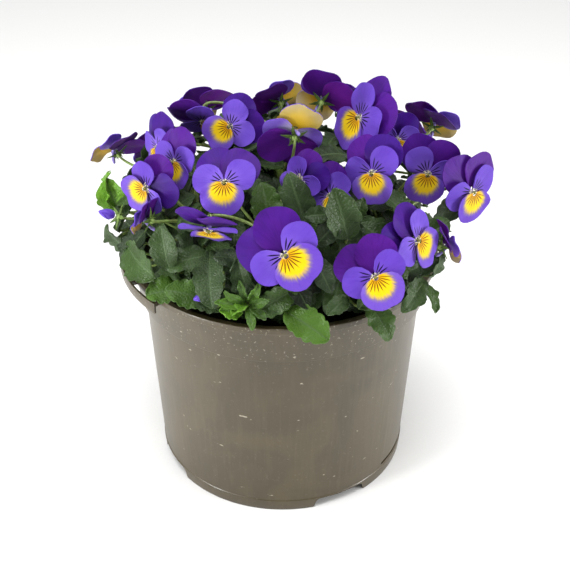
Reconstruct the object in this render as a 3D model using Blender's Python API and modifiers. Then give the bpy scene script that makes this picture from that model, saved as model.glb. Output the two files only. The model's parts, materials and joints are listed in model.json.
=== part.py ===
"""Potted viola: a moulded nursery pot, its soil, leafy shoots, two-toned blooms and buds.

Units are metres and +Z is up. The origin is on the floor under the middle of the pot, and the
front of the plant faces -Y. A petal or leaf is a blade: a flat outline split into triangles,
lifted to its curved shape by a formula and thickened.
"""

import math
import random
from collections import namedtuple

import bmesh
import bpy
import numpy as np
from mathutils import Vector, geometry

MM = 0.001
UP = np.array((0.0, 0.0, 1.0))

# Pot
POT_HEIGHT = 132 * MM
LIP_RADIUS = 85 * MM
LIP_THICKNESS = 3.5 * MM
BAND_TOP_RADIUS = 82 * MM
BAND_BOTTOM_RADIUS = 79.8 * MM
BAND_BOTTOM = 108.5 * MM
BODY_TOP_RADIUS = 77 * MM
BODY_TOP = 107 * MM
FOOT_RADIUS = 71.7 * MM
WALL = 1.3 * MM
BASE_UNDERSIDE = 6.6 * MM
BASE_TOP = 8 * MM
POT_STEPS = 36

# Handling ears on the lip, at the left and the right, turned a little from the X axis
EAR_ANGLES = (200, 20)
EAR_HALF_ANGLE = 24
EAR_RADIUS = 89.2 * MM
EAR_STRIP = 1.2 * MM
EAR_BOTTOM = 125.5 * MM
EAR_TOP = 131.4 * MM
EAR_RIB_BOTTOM = 128.6 * MM
EAR_RIBS = (-22, -8, 6, 22)
EAR_RIB_HALF_ANGLE = 1.4

# Cuts in the foot ring, the wall and the base
NOTCH_ANGLES = (27, 117, 207, 297)
NOTCH_WIDTH = 36 * MM
NOTCH_TOP_SHARE = 0.8
NOTCH_HEIGHT = 6.2 * MM
SLOT_ANGLES = (340, 160)
SLOT_WIDTH = 44 * MM
SLOT_HEIGHT = 1.8 * MM
SLOT_LEVEL = 9.2 * MM
DRAIN_REACH = 56 * MM
DRAIN_RADIUS = 6 * MM

# Soil
SOIL_TOP = 119 * MM
SOIL_EDGE_DROP = 3 * MM
SOIL_LUMPS = 1.4 * MM
SOIL_STEPS = 24
GAP = 0.35 * MM

# Shoots: azimuth in degrees, then root reach, tip reach and tip height in mm
SHOOTS = (
    (262, 38, 58, 172),
    (302, 38, 62, 172),
    (340, 38, 70, 172),
    (25, 38, 64, 176),
    (75, 36, 56, 174),
    (125, 36, 58, 174),
    (178, 38, 66, 174),
    (222, 38, 62, 172),
    (100, 4, 8, 192),
)
STEM_RADIUS = 1.4 * MM
STALK_RADIUS = 0.8 * MM
STEM_DEPTH = 7 * MM
STALK_STARTS = (0.7, 0.5, 0.85, 0.35, 0.95)
STALK_PULLS = (26 * MM, 40 * MM, 16 * MM)
STALK_STEPS = 4
OWN_FLOWER_POINTS = 8
STALK_SWINGS = (0, 9 * MM, -9 * MM, 16 * MM, -16 * MM)

# Petals: turn from straight up in degrees, length and layer in mm, spread in degrees, slope, notch
Petal = namedtuple("Petal", "turn length spread layer slope notch")
BANNER_PETALS = (
    Petal(-33, 21.5, 66, -1.8, -0.14, 0.0),
    Petal(33, 21.5, 66, -1.4, -0.03, 0.0),
)
SIDE_TURNS = (-73, 73)
FACE_PETALS = (
    Petal(SIDE_TURNS[0], 17, 62, 0.0, 0.0, 0.0),
    Petal(SIDE_TURNS[1], 17, 62, 0.5, 0.02, 0.0),
    Petal(180, 18, 90, 1.7, 0.12, 0.07),
)
# Limits between which each petal of a bloom bends back or forward, in radians
PETAL_BENDS = ((-0.5, -0.1), (-0.35, 0.0), (-0.2, 0.1), (-0.2, 0.1), (-0.5, -0.1))
PETAL_CUPS = (0.0, 0.08)
PETAL_WAVES = (0.2, 0.5)
CLAW = 0.75 * MM
CLAW_START = 1.0 * MM
PETAL_STEPS = 5
PETAL_EDGE = 0.93
PETAL_ROUNDNESS = 0.45
PETAL_INNER = ((-0.42, 0.6), (0.42, 0.6))
NOTCH_SHARE = 0.12
BLADE = 0.6 * MM
MOUTH_AHEAD = -0.7 * MM
MOUTH_RADIUS = 0.5 * MM
SPUR_RADIUS = 0.9 * MM
SPUR_PATH = ((-1.9, -1.0), (-3.6, -1.9), (-4.7, -7.5))
BRIDGE_ENDS = (-2.2 * MM, 0.4 * MM)
BRIDGE_RADIUS = 1.3 * MM
CALYX_FRONT = -2.5 * MM
CALYX_BACK = -6.0 * MM
CALYX_RING = -4.5 * MM
SEPALS = 5
SEPAL_REACH = 7 * MM
SEPAL_WAIST = 1.5 * MM

# Blooms: throat in mm, facing in degrees (yaw from the front to the right, pitch up), roll
# clockwise as seen by who looks at the bloom, size, the shoot that carries it and the turns of
# its two side petals
Bloom = namedtuple("Bloom", "x y z yaw pitch roll size shoot sides", defaults=(SIDE_TURNS,))
BLOOMS = (
    Bloom(1, -84, 173, 0, 22, -50, 1.05, 0, (-80, 92)),
    Bloom(43, -82, 160, 0, 25, -30, 0.93, 1, (-80, 82)),
    Bloom(64, -62, 168, 52, 18, -38, 0.9, 1, (-70, 72)),
    Bloom(72, -28, 187, 4, 6, 14, 0.9, 2, (-46, 80)),
    Bloom(43, -46, 196, -28, 14, -15, 0.9, 1, (-85, 52)),
    Bloom(-27, -57, 196, -8, 40, 2, 0.92, 7, (-84, 58)),
    Bloom(-53, -31, 195, -36, 10, -20, 0.8, 7, (-55, 88)),
    Bloom(-66, -42, 186, -30, 5, 58, 0.8, 7, (-73, 98)),
    Bloom(-94, 32, 174, -132, 40, -40, 0.85, 6),
    Bloom(-42, 8, 200, 0, -40, -75, 0.9, 8),
    Bloom(-26, -16, 207, -10, 20, 55, 0.8, 8, (-38, 60)),
    Bloom(-2, 30, 205, 195, 30, 70, 0.85, 5),
    Bloom(21, 18, 209, 170, 15, -35, 0.95, 8, (-60, 60)),
    Bloom(6, -22, 207, 180, 20, 155, 0.95, 8),
    Bloom(39, -10, 209, -60, 22, 28, 1.05, 3, (-45, 60)),
    Bloom(59, -4, 195, 5, 0, 0, 0.68, 3),
    Bloom(82, 22, 194, 150, 30, 0, 0.9, 3),
    Bloom(94, -34, 180, 36, 2, 2, 0.95, 2, (-95, 58)),
    Bloom(-64, -5, 191, -50, 0, -25, 0.85, 6),
    Bloom(-34, -74, 181, -10, -50, 0, 0.85, 0, (-85, 73)),
    Bloom(83, -46, 157, 112, 8, 0, 0.65, 2),
)
BACK_BLOOMS = (
    Bloom(42, 64, 188, 165, 25, 10, 0.95, 4),
    Bloom(2, 86, 174, 185, 20, -15, 1.0, 4),
    Bloom(-46, 64, 186, 205, 22, 0, 0.95, 5),
    Bloom(-76, 62, 160, 228, 12, 20, 0.9, 6),
    Bloom(76, 62, 168, 135, 15, -10, 0.95, 3),
)
BUDS = (
    Bloom(-86, -36, 168, -60, 30, 0, 1.0, 7),
    Bloom(-36, -76, 146, -70, -10, 0, 1.0, 7),
)
BUD_LENGTH = 9 * MM
BUD_RADIUS = 2.6 * MM

# Leaves
Leaf = namedtuple("Leaf", "anchor base tip normal width")
# shoot, share of its stem, then base and tip in mm, facing in degrees and width in mm
HAND_LEAVES = (
    (0, 0.4, (1, -81, 140), (22, -90, 129), 15, 40, 17),
    (1, 0.4, (41, -73, 140), (52, -85, 126), 25, 40, 14),
    (7, 0.35, (-50, -62, 140), (-67, -66, 139), -20, 50, 15),
    (7, 0.45, (-36, -68, 138), (-57, -70, 145), -10, 45, 15),
    (7, 0.4, (-79, -28, 143), (-91, -28, 157), -60, 20, 15),
    (6, 0.5, (-88, -8, 157), (-90, -12, 180), -75, 10, 14),
    (0, 0.5, (-14, -76, 143), (-21, -74, 165), -20, 15, 12),
    (7, 0.7, (-34, -60, 158), (-58, -60, 152), -5, 55, 14),
    (1, 0.5, (70, -52, 141), (60, -68, 132), 40, 35, 13),
    (0, 0.8, (33, -60, 157), (31, -54, 180), 10, 30, 15),
    (0, 0.7, (5, -56, 162), (15, -52, 180), 20, 40, 14),
    (0, 0.95, (-6, -50, 168), (-10, -40, 188), 0, 45, 16),
    (8, 0.7, (-16, -20, 176), (-28, -36, 181), -20, 60, 15),
    (8, 0.6, (10, -16, 172), (20, -38, 175), 10, 65, 16),
    (8, 0.55, (-4, -18, 163), (-3, -42, 166), 0, 65, 16),
    (8, 0.75, (22, -8, 178), (36, -26, 181), 30, 55, 15),
    (0, 0.3, (-20, -80, 139), (-30, -85, 143), -10, 40, 9),
)
LEAF_SIDE_SHARES = (0.13, 0.34, 0.56, 0.77, 0.94)
LEAF_TOOTH = 0.84
LEAF_MIDRIB = (0.3, 0.68)
TIP_SHARE = 0.97
LEAF_FOLD = 0.35
LEAF_DROOP = 0.7
PETIOLE = 0.6 * MM
LEAVES = 78
LEAF_TRIES = 260
LEAF_LENGTHS = (20 * MM, 30 * MM)
LEAF_WIDTH_SHARES = (0.5, 0.66)
LEAF_STALKS = (8 * MM, 22 * MM)
LEAF_UPTURN = (0.0, 0.9)
LEAF_SCATTER = 0.35
LEAF_SWING = 0.9
LEAF_ANCHORS = (0.25, 1.0)
HANGING = (1, 1, -0.5)
GOLDEN_ANGLE = math.radians(137.5)
GOLDEN_STEP = 0.618
LOW_RISE = 0.3
LOW_HANGING = 0.6
MOUND_CENTRE = np.array((0.0, 0.0, 122.0)) * MM
MOUND_RADII = np.array((106.0, 98.0, 88.0)) * MM
MOUND_SHELL = (0.5, 0.93)
MOUND_RISE = (0.04, 0.97)
RIM_CLEARANCE = 4 * MM
LEAF_GAP = 3.4 * MM
OWN_LEAF_GAP = 2.6 * MM
STALK_GAP = 3.2 * MM
CLOUD_STEP = 3 * MM
STALK_CLOUD_POINTS = 8
SEED = 14

PLANT = bpy.data.collections.new("potted_viola")


def material(name, colour, roughness):
    """A plain finish of one colour."""
    finish = bpy.data.materials.new(name)
    finish.use_nodes = True
    shader = finish.node_tree.nodes["Principled BSDF"]
    shader.inputs["Base Color"].default_value = (*colour, 1.0)
    shader.inputs["Roughness"].default_value = roughness
    shader.inputs["Metallic"].default_value = 0.0
    return finish


def clear_scene():
    """Remove whatever the scene holds and link the plant's collection."""
    for obj in list(bpy.data.objects):
        bpy.data.objects.remove(obj)
    bpy.context.scene.collection.children.link(PLANT)


def apply_modifiers(obj):
    """Replace an object's mesh by the one that its modifiers give."""
    graph = bpy.context.evaluated_depsgraph_get()
    mesh = bpy.data.meshes.new_from_object(obj.evaluated_get(graph))
    obj.modifiers.clear()
    obj.data = mesh


def object_from(name, bm):
    """An unlinked object that holds a bmesh."""
    mesh = bpy.data.meshes.new(name)
    bm.to_mesh(mesh)
    bm.free()
    return bpy.data.objects.new(name, mesh)


def fused(name, pieces, finish, operation="UNION"):
    """One body from overlapping pieces: the first takes one Boolean on a collection of the rest."""
    base, *rest = pieces
    repeats = bpy.data.collections.new("repeats")
    bpy.context.scene.collection.children.link(repeats)
    for piece in rest:
        repeats.objects.link(piece)
    if base.name not in PLANT.objects:
        PLANT.objects.link(base)
    join = base.modifiers.new("join", "BOOLEAN")
    join.operation = operation
    join.operand_type = "COLLECTION"
    join.collection = repeats
    join.solver = "MANIFOLD"
    apply_modifiers(base)
    for piece in rest:
        bpy.data.objects.remove(piece)
    bpy.data.collections.remove(repeats)
    base.name = name
    base.data.materials.clear()
    base.data.materials.append(finish)
    return base


def turned(name, profile, steps):
    """A solid turned round Z from (radius, height) points that run down its outer side."""
    mesh = bpy.data.meshes.new(name)
    mesh.from_pydata(
        [(radius, 0, height) for radius, height in profile],
        [(i, i + 1) for i in range(len(profile) - 1)],
        [],
    )
    obj = bpy.data.objects.new(name, mesh)
    PLANT.objects.link(obj)
    screw = obj.modifiers.new("turn", "SCREW")
    screw.axis = "Z"
    screw.steps = screw.render_steps = steps
    screw.use_merge_vertices = True
    screw.merge_threshold = 1e-5
    apply_modifiers(obj)
    return obj


def tube(name, points, radius, resolution=0):
    """A mesh tube along the points, with closed ends."""
    curve = bpy.data.curves.new(name, "CURVE")
    curve.dimensions = "3D"
    curve.bevel_depth = radius
    curve.bevel_resolution = resolution
    curve.use_fill_caps = True
    spline = curve.splines.new("POLY")
    spline.points.add(len(points) - 1)
    for point, place in zip(spline.points, points):
        point.co = (*place, 1.0)
    guide = bpy.data.objects.new(name, curve)
    PLANT.objects.link(guide)
    graph = bpy.context.evaluated_depsgraph_get()
    mesh = bpy.data.meshes.new_from_object(guide.evaluated_get(graph))
    bm = bmesh.new()
    bm.from_mesh(mesh)
    bmesh.ops.remove_doubles(bm, verts=bm.verts, dist=1e-6)
    bpy.data.objects.remove(guide)
    return object_from(name, bm)


def block(name, size, place, turn_degrees, top_share=1.0):
    """A box on its middle, turned about Z through the origin; its top may be narrower along X."""
    bm = bmesh.new()
    bmesh.ops.create_cube(bm, size=1.0)
    turn = math.radians(turn_degrees)
    for vert in bm.verts:
        share = top_share if vert.co.z > 0 else 1.0
        x = vert.co.x * size[0] * share + place[0]
        y = vert.co.y * size[1] + place[1]
        z = vert.co.z * size[2] + place[2]
        vert.co = (
            x * math.cos(turn) - y * math.sin(turn),
            x * math.sin(turn) + y * math.cos(turn),
            z,
        )
    return object_from(name, bm)


def arc_bar(name, inner, outer, bottom, top, start, end, steps):
    """A bar of rectangular section that follows an arc round Z, from start to end in degrees."""
    bm = bmesh.new()
    bmesh.ops.create_cube(bm, size=1.0)
    lengthwise = [edge for edge in bm.edges if abs(edge.verts[0].co.x - edge.verts[1].co.x) > 0.5]
    bmesh.ops.subdivide_edges(bm, edges=lengthwise, cuts=steps - 1)
    for vert in bm.verts:
        angle = math.radians(start + (end - start) * (vert.co.x + 0.5))
        radius = inner + (outer - inner) * (0.5 - vert.co.y)
        height = bottom + (top - bottom) * (vert.co.z + 0.5)
        vert.co = (radius * math.cos(angle), radius * math.sin(angle), height)
    return object_from(name, bm)


def pot_profile():
    """(radius, height) from the middle of the inner floor over the lip and down to the foot."""
    inner_foot = FOOT_RADIUS - WALL
    return (
        (0, BASE_TOP),
        (inner_foot, BASE_TOP),
        (BODY_TOP_RADIUS - WALL, BODY_TOP),
        (BAND_BOTTOM_RADIUS - WALL, BAND_BOTTOM + WALL),
        (BAND_TOP_RADIUS - WALL, POT_HEIGHT - WALL),
        (BAND_TOP_RADIUS, POT_HEIGHT),
        (LIP_RADIUS, POT_HEIGHT),
        (LIP_RADIUS, POT_HEIGHT - LIP_THICKNESS),
        (BAND_TOP_RADIUS, POT_HEIGHT - LIP_THICKNESS),
        (BAND_BOTTOM_RADIUS, BAND_BOTTOM),
        (BODY_TOP_RADIUS, BODY_TOP),
        (FOOT_RADIUS, 0),
        (inner_foot, 0),
        (inner_foot, BASE_UNDERSIDE),
        (0, BASE_UNDERSIDE),
    )


def ear(angle):
    """The slotted handling ear on the lip at one angle: an outer strip and the ribs that carry it."""
    strip = arc_bar(
        "ear_strip",
        EAR_RADIUS - EAR_STRIP,
        EAR_RADIUS,
        EAR_BOTTOM,
        EAR_TOP,
        angle - EAR_HALF_ANGLE,
        angle + EAR_HALF_ANGLE,
        8,
    )
    ribs = [
        arc_bar(
            "ear_rib",
            LIP_RADIUS - EAR_STRIP,
            EAR_RADIUS - EAR_STRIP / 2,
            EAR_RIB_BOTTOM,
            EAR_TOP - GAP,
            angle + rib - EAR_RIB_HALF_ANGLE,
            angle + rib + EAR_RIB_HALF_ANGLE,
            1,
        )
        for rib in EAR_RIBS
    ]
    return [strip, *ribs]


def pot_cutters():
    """The notches in the foot ring, the slots low in the wall and the drain holes in the base."""
    cutters = []
    for angle in NOTCH_ANGLES:
        size = (NOTCH_WIDTH, 14 * MM, 2 * NOTCH_HEIGHT)
        cutters.append(block("notch", size, (0, FOOT_RADIUS, 0), angle - 90, NOTCH_TOP_SHARE))
    for angle in SLOT_ANGLES:
        size = (SLOT_WIDTH, 12 * MM, SLOT_HEIGHT)
        cutters.append(block("slot", size, (0, FOOT_RADIUS - 1.5 * MM, SLOT_LEVEL), angle - 90))
    for angle in NOTCH_ANGLES:
        turn = math.radians(angle)
        x, y = DRAIN_REACH * math.cos(turn), DRAIN_REACH * math.sin(turn)
        cutters.append(
            tube("drain", ((x, y, 0), (x, y, 2 * BASE_TOP)), DRAIN_RADIUS, resolution=2)
        )
    return cutters


def make_pot(finish):
    """The whole moulded pot."""
    body = turned("pot", pot_profile(), POT_STEPS)
    ears = [piece for angle in EAR_ANGLES for piece in ear(angle)]
    pot = fused("pot", [body, *ears], finish)
    pot = fused("pot", [pot, *pot_cutters()], finish, operation="DIFFERENCE")
    pot.data.shade_smooth()
    pot.data.set_sharp_from_angle(angle=math.radians(30))


def soil_profile():
    """(radius, height) of the soil: its lumpy top, its side along the wall and its flat bottom."""
    edge_level = SOIL_TOP - SOIL_EDGE_DROP
    slope = (BAND_TOP_RADIUS - BAND_BOTTOM_RADIUS) / (POT_HEIGHT - BAND_BOTTOM)
    edge = BAND_BOTTOM_RADIUS - WALL - GAP + slope * (edge_level - BAND_BOTTOM - WALL)
    rings = [(edge * share, SOIL_TOP - SOIL_EDGE_DROP * share**3) for share in (0, 0.3, 0.6, 0.85, 1)]
    return (
        *rings,
        (BAND_BOTTOM_RADIUS - WALL - GAP, BAND_BOTTOM + 2 * WALL),
        (BODY_TOP_RADIUS - WALL - GAP, BODY_TOP),
        (FOOT_RADIUS - WALL - GAP, BASE_TOP + GAP),
        (0, BASE_TOP + GAP),
    )


def make_soil(finish, stems):
    """The soil, with a plain hole for each stem."""
    soil = turned("soil", soil_profile(), SOIL_STEPS)
    draw = random.Random(SEED)
    inside = 0.9 * (BAND_BOTTOM_RADIUS - WALL)
    for vert in soil.data.vertices:
        if vert.co.z > BODY_TOP and math.hypot(vert.co.x, vert.co.y) < inside:
            vert.co.z += draw.uniform(-SOIL_LUMPS, SOIL_LUMPS)
    holes = []
    for stem in stems:
        x, y, z = stem[0]
        ends = ((x, y, z - GAP), (x, y, POT_HEIGHT))
        holes.append(tube("hole", ends, STEM_RADIUS + 2 * GAP, resolution=1))
    fused("soil", [soil, *holes], finish, operation="DIFFERENCE")


def unit(vector):
    """The vector at length 1."""
    return vector / np.linalg.norm(vector)


def polar(azimuth_degrees, reach, height):
    """A point from its direction round Z, its distance from Z and its height."""
    turn = math.radians(azimuth_degrees)
    return np.array((reach * math.cos(turn), reach * math.sin(turn), height))


def hermite(start, end, start_pull, end_pull, steps):
    """Points on a smooth curve that leaves and arrives along the two pulls."""
    points = []
    for t in np.linspace(0, 1, steps + 1):
        points.append(
            (2 * t**3 - 3 * t**2 + 1) * start
            + (t**3 - 2 * t**2 + t) * start_pull
            + (3 * t**2 - 2 * t**3) * end
            + (t**3 - t**2) * end_pull
        )
    return points


def stem_path(shoot, steps=4):
    """The middle line of a shoot's stem, from the bottom of its hole in the soil."""
    azimuth, root, tip, height = shoot
    foot = polar(azimuth, root * MM, SOIL_TOP - STEM_DEPTH)
    collar = polar(azimuth, root * MM, SOIL_TOP + 2 * MM)
    end = polar(azimuth, tip * MM, height * MM)
    rise = UP * (end[2] - collar[2])
    lean = (end - collar) * 1.2
    return [foot, *hermite(collar, end, rise, lean, steps)]


def along(path, share):
    """The point at a share of the way along a path, by its number of points."""
    place = share * (len(path) - 1)
    low = min(int(place), len(path) - 2)
    return path[low] + (path[low + 1] - path[low]) * (place - low)


def frame_of(bloom):
    """Throat, then the directions right, up and forward of a bloom, as its viewer sees them."""
    yaw, pitch, roll = (math.radians(angle) for angle in (bloom.yaw, bloom.pitch, bloom.roll))
    forward = np.array(
        (
            math.sin(yaw) * math.cos(pitch),
            -math.cos(yaw) * math.cos(pitch),
            math.sin(pitch),
        )
    )
    right = np.array((math.cos(yaw), math.sin(yaw), 0.0))
    up = np.cross(forward, right)
    turned_up = up * math.cos(roll) + right * math.sin(roll)
    turned_right = right * math.cos(roll) - up * math.sin(roll)
    return np.array((bloom.x, bloom.y, bloom.z)) * MM, turned_right, turned_up, forward


def petal_outline(petal, size, steps=PETAL_STEPS):
    """Flat outline of a petal, anticlockwise from the right of its claw, with its tip along Y."""
    length, spread = petal.length * MM * size, math.radians(petal.spread)
    points = [(CLAW, CLAW_START)]
    for i in range(steps + 1):
        share = PETAL_EDGE * (1 - 2 * i / steps)
        points.append(petal_point(length, spread, petal.notch, share, 1.0))
    points.append((-CLAW, CLAW_START))
    return points


def petal_point(length, spread, notch, share, depth):
    """A flat point at a share of the spread and a share of the way from the claw to the edge."""
    reach = length * depth * math.cos(share * math.pi / 2) ** PETAL_ROUNDNESS
    reach *= 1 - notch * math.exp(-((share / NOTCH_SHARE) ** 2))
    return reach * math.sin(share * spread), reach * math.cos(share * spread)


Shape = namedtuple("Shape", "bend cup wave phase")


def petal_shapes(number):
    """How each petal of a bloom bends, cups and waves, from a draw of its own."""
    draw = random.Random(SEED * 100 + number)
    return [
        Shape(
            draw.uniform(*bends),
            draw.uniform(*PETAL_CUPS),
            draw.uniform(*PETAL_WAVES),
            draw.uniform(0, 2 * math.pi),
        )
        for bends in PETAL_BENDS
    ]


def face_petals(bloom):
    """The left, the right and the lower petal of a bloom's face."""
    left, right, lower = FACE_PETALS
    return left._replace(turn=bloom.sides[0]), right._replace(turn=bloom.sides[1]), lower


def place_petal(frame, petal, shape, size, flat):
    """The places in space of a petal's flat points."""
    throat, right, up, forward = frame
    x, y = np.asarray(flat, float).T
    length = petal.length * MM * size
    turn = math.radians(petal.turn)
    outward = up * math.cos(turn) + right * math.sin(turn)
    across = right * math.cos(turn) - up * math.sin(turn)
    angle = shape.bend * y / length
    lift = petal.layer * MM + petal.slope * y + length * (1 - np.cos(angle)) / shape.bend
    lift += shape.cup * x * x / length * math.copysign(1, petal.slope)
    ripple = np.sin(3 * np.arctan2(x, y) + shape.phase) * (np.hypot(x, y) / length) ** 2
    lift += shape.wave * MM * ripple
    reach = length * np.sin(angle) / shape.bend
    return throat + np.outer(x, across) + np.outer(reach, outward) + np.outer(lift, forward)


def add_blade(bm, outline, inner, place, claw=None):
    """Add a thin blade: a flat outline with some inner points, in triangles, lifted and thickened.

    A claw is the direction that the edge between the outline's ends is thickened along; that edge
    stays open, to join a throat. Returns its four vertices.
    """
    flat = [Vector(point) for point in (*outline, *inner)]
    count = len(outline)
    points, _, faces, *_ = geometry.delaunay_2d_cdt(flat, [], [list(range(count))], 1, 1e-7)
    middle = [Vector(point) for point in place(points)]
    normals = [Vector() for _ in points]
    for a, b, c in faces:
        normal = (middle[b] - middle[a]).cross(middle[c] - middle[a])
        for corner in (a, b, c):
            normals[corner] += normal
    if claw is not None:
        normals[0] = normals[count - 1] = Vector(claw)
    offsets = [normal.normalized() * BLADE / 2 for normal in normals]
    top = [bm.verts.new(point + offset) for point, offset in zip(middle, offsets)]
    under = [bm.verts.new(point - offset) for point, offset in zip(middle, offsets)]
    for a, b, c in faces:
        bm.faces.new((top[a], top[b], top[c]))
        bm.faces.new((under[c], under[b], under[a]))
    for i in range(count if claw is None else count - 1):
        j = (i + 1) % count
        bm.faces.new((under[i], under[j], top[j], top[i]))
    return [top[0], top[count - 1], under[0], under[count - 1]]


def add_petal(bm, frame, petal, shape, size, claw=None):
    """Add one petal of a bloom."""
    length, spread = petal.length * MM * size, math.radians(petal.spread)
    inner = [petal_point(length, spread, 0.0, *point) for point in PETAL_INNER]
    return add_blade(
        bm,
        petal_outline(petal, size),
        inner,
        lambda flat: place_petal(frame, petal, shape, size, flat),
        claw,
    )


def rings_along(bm, path, radius, side, sides):
    """Rings of vertices round a path; the first is square to its own first step."""
    rings = []
    for i, place in enumerate(path):
        axis = unit(path[min(i + 1, len(path) - 1)] - path[max(i - 1, 0)])
        side = unit(side - axis * np.dot(side, axis))
        other = np.cross(axis, side)
        turns = [2 * math.pi * k / sides for k in range(sides)]
        offsets = [(side * math.cos(turn) + other * math.sin(turn)) * radius for turn in turns]
        rings.append([bm.verts.new(place + offset) for offset in offsets])
    return rings


def loft(bm, rings):
    """Close the sides between rings, and the last ring."""
    for low, high in zip(rings, rings[1:]):
        for i in range(len(low)):
            j = (i + 1) % len(low)
            bm.faces.new((low[i], low[j], high[j], high[i]))
    bm.faces.new(rings[-1])


def petal_object(frame, petal, shape, size):
    """One petal as a body of its own."""
    bm = bmesh.new()
    add_petal(bm, frame, petal, shape, size)
    return object_from("petal", bm)


def face_object(name, bloom, shapes):
    """The three face petals, the throat that joins them and the spur behind it, in one body."""
    frame = frame_of(bloom)
    throat, right, up, forward = frame
    bm = bmesh.new()
    claws = [
        add_petal(bm, frame, petal, shape, bloom.size, claw=forward)
        for petal, shape in zip(face_petals(bloom), shapes)
    ]
    down = [
        bm.verts.new(throat + forward * MOUTH_AHEAD + offset * MOUTH_RADIUS)
        for offset in (right, -up, -right, up)
    ]
    path = [throat + (up * rise + forward * ahead) * MM for rise, ahead in SPUR_PATH]
    loft(bm, [down, *rings_along(bm, path, SPUR_RADIUS, right, 4)])
    joints = [set(joint) for joint in (*claws, down)]
    corners = [vert for joint in (*claws, down) for vert in joint]
    for vert in corners:
        vert.co /= MM
    hull = bmesh.ops.convex_hull(bm, input=corners)
    for vert in corners:
        vert.co *= MM
    shut = [
        item
        for item in hull["geom"]
        if isinstance(item, bmesh.types.BMFace) and any(set(item.verts) <= joint for joint in joints)
    ]
    bmesh.ops.delete(bm, geom=shut, context="FACES_ONLY")
    bmesh.ops.delete(bm, geom=[edge for edge in bm.edges if edge.is_wire], context="EDGES")
    bmesh.ops.recalc_face_normals(bm, faces=bm.faces)
    if bm.calc_volume(signed=True) < 0:
        bmesh.ops.reverse_faces(bm, faces=bm.faces)
    return object_from(name, bm)


def make_bloom(number, bloom, purple, lavender):
    """A bloom's banner of two deep petals and its face of three pale ones."""
    frame = frame_of(bloom)
    shapes = petal_shapes(number)
    banner = [
        petal_object(frame, petal, shape, bloom.size)
        for petal, shape in zip(BANNER_PETALS, shapes)
    ]
    fused(f"bloom_{number:02d}_banner", banner, purple)
    face = face_object(f"bloom_{number:02d}_face", bloom, shapes[len(BANNER_PETALS) :])
    face.data.materials.append(lavender)
    PLANT.objects.link(face)


def make_back_bloom(number, bloom, purple):
    """A bloom at the back of the plant: all its petals in one body."""
    frame = frame_of(bloom)
    shapes = petal_shapes(number)
    throat, _, _, forward = frame
    bridge = tube("bridge", [throat + forward * end for end in BRIDGE_ENDS], BRIDGE_RADIUS)
    banner = [
        petal_object(frame, petal, shape, bloom.size)
        for petal, shape in zip(BANNER_PETALS, shapes)
    ]
    face = face_object("face", bloom, shapes[len(BANNER_PETALS) :])
    fused(f"bloom_{number:02d}", [face, bridge, *banner], purple)


def stalk_and_calyx(path, frame):
    """A flower's stalk and, at its end, the green calyx: five pointed sepals round a boss."""
    throat, _, up, forward = frame
    bm = bmesh.new()
    rings = rings_along(bm, path[::-1], STALK_RADIUS, -up, SEPALS)
    loft(bm, rings)
    star = []
    other = np.cross(forward, up)
    for i in range(2 * SEPALS):
        turn = math.pi * i / SEPALS
        reach = SEPAL_REACH if i % 2 else SEPAL_WAIST
        offset = (other * math.sin(turn) - up * math.cos(turn)) * reach
        star.append(bm.verts.new(throat + offset + forward * CALYX_RING))
    front = bm.verts.new(throat + forward * CALYX_FRONT)
    for i, vert in enumerate(star):
        bm.faces.new((front, star[(i + 1) % len(star)], vert))
    for i in range(SEPALS):
        j = (i + 1) % SEPALS
        low, tip, high = star[2 * i], star[2 * i + 1], star[2 * j]
        bm.faces.new((low, tip, rings[0][i]))
        bm.faces.new((tip, rings[0][j], rings[0][i]))
        bm.faces.new((tip, high, rings[0][j]))
    return object_from("stalk", bm)


def make_bud(number, bud, violet):
    """The violet tip of an unopened flower."""
    throat, _, _, forward = frame_of(bud)
    bm = bmesh.new()
    bmesh.ops.create_uvsphere(bm, u_segments=8, v_segments=5, radius=1)
    aim = Vector(forward).to_track_quat("Z", "Y")
    for vert in bm.verts:
        taper = 1 - 0.3 * vert.co.z
        spindle = Vector((vert.co.x * taper, vert.co.y * taper, 0)) * BUD_RADIUS
        spindle.z = (vert.co.z + 1) * BUD_LENGTH / 2 + CALYX_FRONT + GAP
        vert.co = aim @ spindle + Vector(throat)
    tip = object_from(f"bud_{number:02d}", bm)
    tip.data.materials.append(violet)
    PLANT.objects.link(tip)


class Neighbours:
    """Points on what is already placed, so that a new piece can keep clear of it."""

    def __init__(self):
        self.clouds = {}

    def add(self, node, points):
        """Remember points on a node."""
        old = self.clouds.get(node)
        points = np.array(points)
        self.clouds[node] = points if old is None else np.vstack((old, points))

    def clear(self, points, gap, skip=(), only=None):
        """Whether the points keep the gap to every node, or to the only ones named."""
        points = np.asarray(points)
        for node, cloud in self.clouds.items():
            if node in skip or (only is not None and node not in only):
                continue
            near = cloud[np.all(cloud > points.min(0) - gap, 1) & np.all(cloud < points.max(0) + gap, 1)]
            if len(near) == 0:
                continue
            apart = np.linalg.norm(near[:, None] - points[None], axis=2)
            if apart.min() < gap:
                return False
        return True


def bloom_cloud(number, bloom):
    """Points all over a bloom's petals and its spur."""
    frame = frame_of(bloom)
    throat, _, up, forward = frame
    clouds = [[throat + (up * rise + forward * ahead) * MM for rise, ahead in SPUR_PATH]]
    for petal, shape in zip((*BANNER_PETALS, *face_petals(bloom)), petal_shapes(number)):
        length, spread = petal.length * MM * bloom.size, math.radians(petal.spread)
        flat = [
            petal_point(length, spread, petal.notch, share, depth)
            for depth in np.linspace(0.16, 1, 7)
            for share in np.linspace(-PETAL_EDGE, PETAL_EDGE, 3 + int(8 * depth))
        ]
        clouds.append(place_petal(frame, petal, shape, bloom.size, flat))
    return np.vstack(clouds)


def leaf_half_width(share):
    """Half the width of a leaf at a share of its length, for a width of 1."""
    return 0.5 * math.sin(math.pi * share**0.95) ** 0.55


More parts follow.
